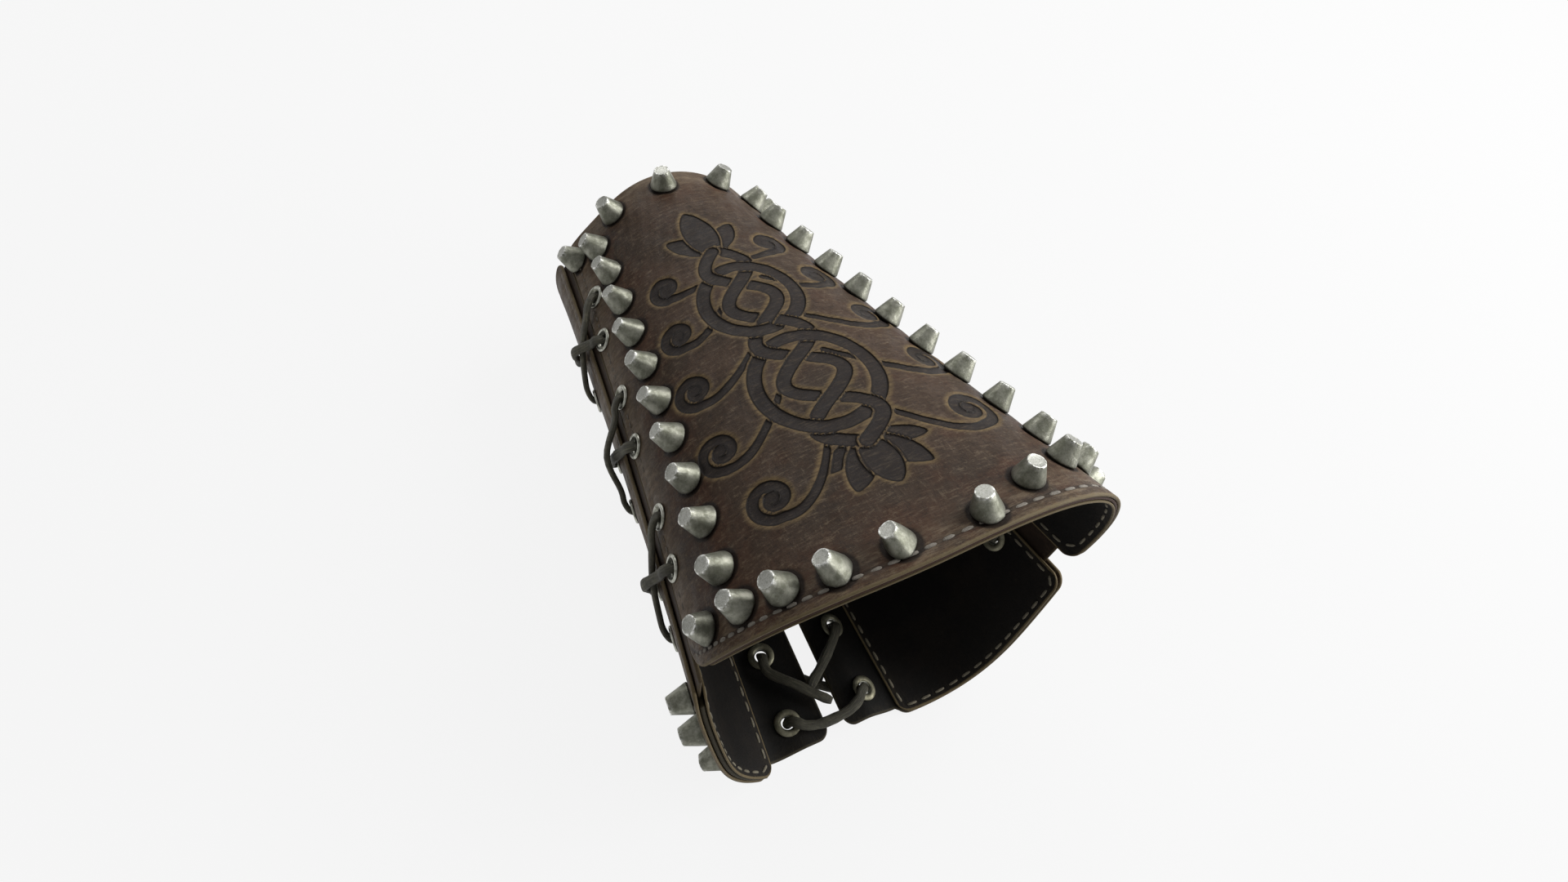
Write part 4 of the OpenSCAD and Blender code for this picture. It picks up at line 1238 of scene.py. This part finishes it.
@dataclass
class Laces:
    """Short flat laces, each through four eyelets: two crossed strands outside and a bar inside."""

    width: float = 3.8
    thickness: float = 2.1
    inside_drop: float = 2.45
    side_heights: Place = (3.5, 6.4)
    rear_heights: Place = (1.15, 4.05)
    rear_hang: Place = (5.7, 4.0)
    strand_rows: Rows = ((0, 0, 0), (0.02, 1.6, 0), (0.1, 2.55, 0.08), (0.21, 2.5, 0.5))
    bar_rows: Rows = ((0, 0, 0), (0.03, 0.92, 0.02), (0.075, 1.2, 0.16), (0.14, 1.2, 0.62),
                      (0.3, 1.14, 0.93), (0.5, 1.15, 1), (0.7, 1.1, 0.93), (0.86, 1.03, 0.66),
                      (0.925, 1.02, 0.3), (0.97, 0.7, 0.04), (1, 0, 0))
    side_tail: Rows = ((16, 1.7, 5), (11, 1.6, 3.5), (5.5, 1.3, 1.5), (1.2, 0.95, 0.3))
    upper_tail: Rows = ((26, 1.75, -16), (20.2, 2, -10.1), (14.9, 1.95, -5.1), (7.2, 1.4, 0), (0.8, 1, 0))
    under_tail: Rows = ((18.4, 0.55, -18.3), (16.4, 0.75, -16.8), (12.8, 0.95, -11.4), (5.2, 1.25, -2.6),
                        (0.8, 1, -0.2))
    steps: int = 5
    around: int = 14
    blurs: int = 8

    @staticmethod
    def run(rows: Rows, p: Place, q: Place, depths: Place, rise: float, fall: float) -> list[Row]:
        """Points on the way from one eyelet to another, or part of it.

        Args:
            rows: share of the way, of the rise and of the fall at each point.
            p, q: the two eyelets.
            depths: depth at each of them.
            rise: height over those depths that a share of 1 stands for.
            fall: drop along the arm that a share of 1 stands for.
        Returns:
            Angle, height and depth of each point.
        """
        ends = np.array([(*p, depths[0]), (*q, depths[1])])
        return [tuple(ends[0] * (1 - t) + ends[1] * t + (0, -fall * share, rise * h)) for t, h, share in rows]

    def strand(self, p: Place, q: Place, faces: Place, middle: float, droop: float) -> list[Row]:
        """A strand outside: up out of one eyelet, over the seam and down into the other."""
        up, down = (self.run(self.strand_rows, *ends, (face, face), 1, droop)
                    for ends, face in (((p, q), faces[0]), ((q, p), faces[1])))
        return up + self.run([(0.5, 0, 1)], p, q, (middle, middle), 0, droop) + down[::-1]

    def tail(self, rows: Rows, p: Place, face: float, way: int) -> list[Row]:
        """A free end inside, from its tip to the eyelet."""
        return [(p[0] + way * turn, p[1] - drop, face - self.inside_drop * h) for drop, h, turn in rows]

    def route(self, pairs: Places, faces: Place, insides: Place, middles: Place, way: int,
              tails: tuple[Rows, Rows], hang: Place = (0.0, 0.0)) -> list[Row]:
        """Whole route of one lace.

        Args:
            pairs: narrow and wide eyelet of the one side, then of the other.
            faces: outer depths of the two sides.
            insides: inner depths of the two sides.
            middles: heights over the seam of the two strands.
            way: side to which the free ends turn.
            tails: rows of the two free ends.
            hang: sag of the bar inside and droop of the strands outside.
        Returns:
            Angle, height and depth of each point.
        """
        a, b, c, d = pairs
        return (self.tail(tails[0], a, insides[0], way) + self.strand(a, d, faces, middles[0], hang[1])
                + self.run(self.bar_rows, d, b, insides[::-1], -self.inside_drop, hang[0])
                + self.strand(b, c, faces, middles[1], hang[1])
                + self.tail(tails[1], c, insides[1], -way)[::-1])

    def smooth(self, rows: Rows) -> tuple[Array, Array]:
        """Smooth line through the points, and the way outwards at each.

        Between two points the line is the cubic whose slopes are half the way from the point
        before to the point after.
        """
        angle, y, depth = np.array(rows).T
        p, n = SLEEVE.place(angle, y, depth), SLEEVE.turn(SLEEVE.outward(angle, y))
        i = np.repeat(np.arange(len(p) - 1), self.steps)
        t = np.tile(np.arange(self.steps) / self.steps, len(p) - 1)[:, None]
        a, b, c, d = p[np.maximum(i - 1, 0)], p[i], p[i + 1], p[np.minimum(i + 2, len(p) - 1)]
        line = b + 0.5 * t * (c - a + t * (2 * a - 5 * b + 4 * c - d + t * (3 * b - a - 3 * c + d)))
        return np.concatenate([line, p[-1:]]), np.concatenate([n[i] * (1 - t) + n[i + 1] * t, n[-1:]])

    def build_one(self, name: str, rows: Rows, phase: float) -> bpy.types.Object:
        """Carries a flat oval section along one route.

        Args:
            name: the piece's name, which is also its node's.
            rows: the route.
            phase: where the lace's small irregularities begin.
        Returns:
            The lace, not yet riding on anything.
        """
        line, out = self.smooth(rows)
        way = unit(np.gradient(line, axis=0))
        side = np.cross(way, out)
        weak = np.linalg.norm(side, axis=-1, keepdims=True)
        side = side / np.maximum(weak, 1e-6)
        for _ in range(self.blurs):
            blur = side.copy()
            blur[1:-1] = side[:-2] + side[1:-1] * (0.3 + weak[1:-1]) + side[2:]
            side = square(blur, way)
        up = np.cross(side, way)
        s = travelled(line)
        swell = 1 + 0.05 * np.sin(s * 0.55 + phase) + 0.03 * np.sin(s * 1.3 + 2 * phase)
        taper = np.clip(np.minimum(s, s[-1] - s) / 1.5, 0.45, 1) ** 0.5
        t = round_turn(self.around)
        flat = 0.55 + 0.45 * np.clip(weak[:, 0] * 1.3, 0, 1)
        w = (self.width / 2 * swell * taper * (0.82 + 0.18 * flat))[:, None, None] * MM
        h = (self.thickness / 2 * taper * (1.12 - 0.12 * flat))[:, None, None] * MM
        bow, puff = ((np.sign(v) * np.abs(v) ** power)[None, :, None]
                     for v, power in ((np.cos(t), 0.85), (np.sin(t), 0.75)))
        points = line[:, None] + side[:, None] * w * bow + up[:, None] * h * puff
        marks = {"run": np.repeat(s[:, None] + 40 * phase, self.around, axis=1),
                 "turn": np.repeat(np.abs(np.sin(t / 2 + 0.4))[None], len(line), axis=0) * self.width}
        return make_piece(name, points, revolve_faces(1, len(line), self.around, False), FINISHES.lace, None,
                          marks, (name,))

    def build(self) -> None:
        """Makes the nine laces; those on the right ride on the front."""
        p = PATTERN
        sides = ((0.0, p.proud), (p.front_inside, p.back_inside))
        flaps = ((p.flap_top, p.flap_top), (p.flap_inside, p.flap_inside))
        rear = tuple((a + 360, y) for a, y in p.left_rear_eyelets)
        for i in range(3):
            left, right, back = (one[2 * i:2 * i + 2] + other[2 * i:2 * i + 2] for one, other in (
                (p.front_left_eyelets, p.left_side_eyelets), (p.front_right_eyelets, p.right_side_eyelets),
                (rear, p.right_rear_eyelets)))
            heights = self.side_heights[::-1] if i == 1 else self.side_heights
            rows = self.route(left, *sides, heights, 1, (self.side_tail, self.side_tail))
            lace = self.build_one(f"left_lace_{i + 1}", rows, i)
            Hinge.LEFT_CREASE.bend(lace, (left[0][1] + left[3][1]) / 2)
            rows = self.route(right, *sides, heights, -1, (self.side_tail, self.side_tail))
            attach(self.build_one(f"right_lace_{i + 1}", rows, i + 3), Body.FRONT.value)
            rows = self.route(back, *flaps, self.rear_heights, 1, (self.upper_tail, self.under_tail),
                              self.rear_hang)
            lace = self.build_one(f"rear_lace_{i + 1}", rows, i + 6)
            Hinge.BACK_SEAM.bend(lace, (back[0][1] + back[1][1]) / 2)


@dataclass(frozen=True)
class Seam:
    """One line of stitches: where it runs, on which face, and how its stitches are sized in mm."""

    a: Array
    y: Array
    depth: float
    side: int = 1
    pitch: Place = (5.8, 5.8)
    share: float = 0.68
    width: float = 1.1
    clear_of: Places = ()


@dataclass
class Stitching:
    """Waxed thread: each stitch is a small rounded bead of thread sunk at both ends."""

    height: float = 0.5
    rise: float = 0.08
    around: int = 6
    clearance: float = 5.4
    sink: float = 0.16

    def lay_out(self, seam: Seam) -> tuple[Array, Array, Array, Array]:
        """Middles, directions, normals and sizes of one line's stitches.

        The pitch grows evenly from one end of the line to the other.
        """
        path = SLEEVE.place(seam.a, seam.y, seam.depth)
        s = travelled(path)
        first, last = seam.pitch
        count = int(2 * s[-1] / (first + last))
        share = (np.arange(count) + 0.5) / count
        at = s[-1] * share * (first + (last - first) / 2 * share) / ((first + last) / 2)
        a, y = np.interp(at, s, seam.a), np.interp(at, s, seam.y)
        free = SLEEVE.nearest(a, y, seam.clear_of) > self.clearance
        at, a, y, share = at[free], a[free], y[free], share[free]
        n = SLEEVE.turn(SLEEVE.outward(a, y)) * seam.side
        step = np.stack([np.interp(at + 0.5, s, axis) - np.interp(at - 0.5, s, axis) for axis in path.T], -1)
        size = np.stack([seam.share * (first + (last - first) * share), np.full(len(at), seam.width)], -1)
        return SLEEVE.place(a, y, seam.depth + seam.side * self.rise), square(step, n), n, size

    def build(self, name: str, seams: Sequence[Seam], finish: Finish, body: Body) -> None:
        """Sews along several lines.

        Args:
            name: the piece's name.
            seams: the lines.
            finish: thread finish.
            body: what the stitches ride on.
        """
        p, t, n, size = (np.concatenate(v)[:, None, None] for v in zip(*map(self.lay_out, seams)))
        x = np.array([-1, -0.9, -0.5, 0, 0.5, 0.9, 1])[:, None]
        girth = np.clip(1 - np.abs(x) ** 9, 0.12, 1)
        turn = round_turn(self.around) + math.pi / 6
        run = x * size[..., 0] / 2
        up = self.height / 2 * girth * np.sin(turn) - self.sink * np.abs(x) ** 6
        broad = size[..., 1] / 2 * girth * np.cos(turn)
        bead = p + (t * run[..., None] + n * up[..., None] + np.cross(n, t) * broad[..., None]) * MM
        marks = {"run": np.arange(len(p))[:, None, None] * 7.3 + run, "turn": np.sin(turn) * 1.5}
        marks = {mark: np.broadcast_to(values, bead.shape[:3]) for mark, values in marks.items()}
        make_piece(name, bead, revolve_faces(*bead.shape[:3], False), finish, body, marks, ())

    @staticmethod
    def panel(start: float, end: float, edge: Callable[[Array], Array], inset: float, narrow: float,
              corner: float) -> tuple[Array, Array]:
        """A line up one side, along the wide rim and up the other side, with round corners.

        Args:
            start, end: side edges.
            edge: wide edge by angle.
            inset: distance of the line from the edges.
            narrow: height where both ends of the line stop.
            corner: radius of the panel's corners.
        Returns:
            Angles and heights along the line.
        """
        first, last = start + to_angle(inset), end - to_angle(inset)
        radius = max(1.5, corner - inset * 0.3)
        turn = np.linspace(0, QUARTER, 12)
        side, rise = to_angle(radius) * (1 - np.sin(turn)), radius * (1 - np.cos(turn))
        middle = np.linspace(first + to_angle(radius), last - to_angle(radius), 90)
        base = edge(middle) + inset
        left, right = base[0] + rise[::-1], base[-1] + rise
        downs, ups = np.linspace(narrow, left[0], 60)[:-1], np.linspace(right[-1], narrow, 60)[1:]
        a = [np.full(downs.shape, first), first + side[:0:-1], middle, last - side[1:],
             np.full(ups.shape, last)]
        return np.concatenate(a), np.concatenate([downs, left[:-1], base, right[1:], ups])

    def sew(self) -> None:
        """Sews the rims of the three panels, outside and inside."""
        p = PATTERN
        a = np.linspace(p.front_left + 5.2, p.front_right - 3.5, 120)
        rim = Seam(a, p.front_wide(a) + 4.4, -0.28, 1, (3.0, 8.0), 0.7, 1.35)
        corner = Seam(p.front_left + np.array([3.1, 3.3, 3.9, 5.0]), np.array([-76.0, -80.5, -84.5, -86.2]),
                      -0.2, 1, (3.4, 3.4), 0.6, 0.9)
        self.build("front_stitches", [rim, corner], FINISHES.thread, Body.FRONT)
        y = np.linspace(-70, 97, 120)
        a = p.front_left + 4.1 / SLEEVE.arc(np.full(y.shape, p.front_left), y)
        side = Seam(a, y, -0.24, 1, (4.2, 3.6), 0.6, 0.8, p.front_left_eyelets)
        self.build("front_side_stitches", [side], FINISHES.flat_thread, Body.FRONT)
        inside = self.panel(p.front_left, p.front_right, p.front_wide, 2.9, 98.0, p.corner_left)
        dark = FINISHES.dark_thread
        self.build("front_inner_stitches", [Seam(*inside, p.front_inside, -1)], dark, Body.FRONT)
        for body, start, end in ((Body.LEFT, p.left_rear, p.left_crease),
                                 (Body.RIGHT, p.right_crease, p.right_rear)):
            outside, inside = (self.panel(start, end, p.back_wide, inset, 97.0, p.corner)
                               for inset in (3.2, 2.4))
            self.build(f"{body.value}_stitches", [Seam(*outside, p.proud - 0.2)], FINISHES.thread, body)
            self.build(f"{body.value}_inner_stitches", [Seam(*inside, p.back_inside, -1)], dark, body)


@dataclass(frozen=True)
class Viewpoint:
    """Where the picture is taken from, about the sleeve's own axis in mm and degrees."""

    azimuth: float = -34.33
    elevation: float = 52.46
    roll: float = 8.98
    centre: Row = (-123.03, -195.17, 293.11)
    lens: float = 22.85
    sensor: float = 36.0

    def build(self) -> None:
        """Makes the camera: its back axis from the two angles, then rolled about it."""
        a, e, r = (math.radians(v) for v in (self.azimuth, self.elevation, self.roll))
        back = np.array([math.sin(a) * math.cos(e), -math.cos(a) * math.cos(e), math.sin(e)])
        right = unit(np.cross(-back, [0, 0, 1]))
        up = np.cross(right, -back)
        axes = SLEEVE.turn(np.stack([math.cos(r) * right + math.sin(r) * up,
                                     -math.sin(r) * right + math.cos(r) * up, back]))
        data = bpy.data.cameras.new("viewpoint")
        data.lens = self.lens
        data.sensor_width = self.sensor
        data.sensor_fit = "HORIZONTAL"
        data.clip_start = 0.01
        camera = show("viewpoint", data)
        aim(camera, axes, SLEEVE.lay(np.array(self.centre)))
        bpy.context.scene.camera = camera


def aim(thing: bpy.types.Object, axes: Array, place: Array) -> None:
    """Sets a camera or lamp down at a place in metres, with its own axes as rows."""
    matrix = Matrix(axes.T.tolist()).to_4x4()
    matrix.translation = place.tolist()
    thing.matrix_world = matrix


@dataclass(frozen=True)
class Studio:
    """Pale floor and soft lamps. Each lamp has a place and a size in metres, and a power in watts."""

    floor_half: float = 30.0
    floor_tone: float = 0.925
    shown: float = 0.94
    sky: float = 0.38
    middle: Row = (0.0, 0.0, 0.06)
    lamps: tuple[tuple[str, Row, float, float], ...] = (
        ("key_lamp", (0.75, 0.1, 0.75), 0.6, 10.0), ("side_lamp", (0.85, -0.45, 0.35), 0.5, 8.0),
        ("back_lamp", (0.1, 0.85, 0.6), 0.5, 4.0))

    def lamp(self, name: str, place: Row, size: float, power: float) -> None:
        """A square lamp that looks at the middle of the bracer."""
        data = bpy.data.lights.new(name, "AREA")
        data.size, data.energy = size, power
        z = unit(np.array(place) - np.array(self.middle))
        x = unit(np.cross([0.0, 1.0, 0.2], z))
        aim(show(name, data), np.stack([x, np.cross(z, x), z]), np.array(place))

    def floor(self) -> None:
        """The floor: mostly its own white where it is seen, and still shaded by the object."""
        h = self.floor_half
        mesh = bpy.data.meshes.new("floor")
        mesh.from_pydata([(-h, -h, 0), (h, -h, 0), (h, h, 0), (-h, h, 0)], [], [(0, 1, 2, 3)])
        material = bpy.data.materials.new("pale_floor")
        material.use_nodes = True
        tree = material.node_tree
        tree.nodes.clear()
        # Seen straight, mirrored or let through, the floor shows the background's own white
        seen, *others = (add_node(tree, "LightPath", {}, ray)
                         for ray in ("Is Camera Ray", "Is Glossy Ray", "Is Transmission Ray"))
        for ray in others:
            seen = add_node(tree, "Math", {0: seen, 1: ray}, operation="MAXIMUM")
        share = add_node(tree, "Math", {0: seen, 1: self.shown}, operation="MULTIPLY")
        plain = add_node(tree, "BsdfDiffuse", {"Color": (0.8, 0.8, 0.8, 1)})
        glow = add_node(tree, "Emission", {"Color": (1, 1, 1, 1), "Strength": self.floor_tone})
        add_node(tree, "OutputMaterial", {0: add_node(tree, "MixShader", {0: share, 1: plain, 2: glow})})
        mesh.materials.append(material)
        show("floor", mesh)

    def sky_light(self) -> None:
        """A plain white sky that shows as the background's white."""
        world = bpy.data.worlds.new("sky")
        bpy.context.scene.world = world
        world.use_nodes = True
        tree = world.node_tree
        tree.nodes.clear()
        seen = add_node(tree, "LightPath", {}, "Is Camera Ray")
        strength = add_node(tree, "MapRange", {"Value": seen, "To Min": self.sky, "To Max": self.floor_tone})
        glow = add_node(tree, "Background", {"Color": (1, 1, 1, 1), "Strength": strength})
        add_node(tree, "OutputWorld", {0: glow})

    def build(self) -> None:
        """Sets the floor, the sky and the lamps."""
        self.floor()
        self.sky_light()
        for lamp in self.lamps:
            self.lamp(*lamp)
        bpy.context.scene.view_settings.view_transform = "Standard"


def main() -> None:
    """Builds the picture's camera and studio, then the bracer from the leather outwards."""
    logging.basicConfig(level=logging.INFO, format="%(message)s")
    Viewpoint().build()
    Studio().build()
    FrontPanel().build()
    p = PATTERN
    BackPanel(Body.LEFT, p.left_crease, p.left_rear, p.left_end + p.gap_half, p.left_row,
              p.left_side_eyelets, p.left_rear_eyelets).build()
    BackPanel(Body.RIGHT, p.right_crease, p.right_rear, SLEEVE.back_seam - p.gap_half, p.right_row,
              p.right_side_eyelets, p.right_rear_eyelets).build()
    studs = Studs()
    for name, places, leans in (("wide_row", p.wide_row, studs.wide_leans),
                                ("narrow_row", p.narrow_row, studs.narrow_leans),
                                ("left_column", p.column(p.column_left), studs.column_leans),
                                ("right_column", p.column(p.column_right), ())):
        studs.build(f"front_{name}_studs", places, 0.0, Body.FRONT, leans)
    for body, places in ((Body.LEFT, p.left_row), (Body.RIGHT, p.right_row)):
        studs.build(f"{body.value}_studs", places, p.proud, body)
    Eyelets().build()
    Laces().build()
    Stitching().sew()
    for body in Body:
        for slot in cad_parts[f"{body.value}_stud_burrs"].material_slots:
            slot.material = FINISHES.washer


if __name__ == "__main__":
    main()
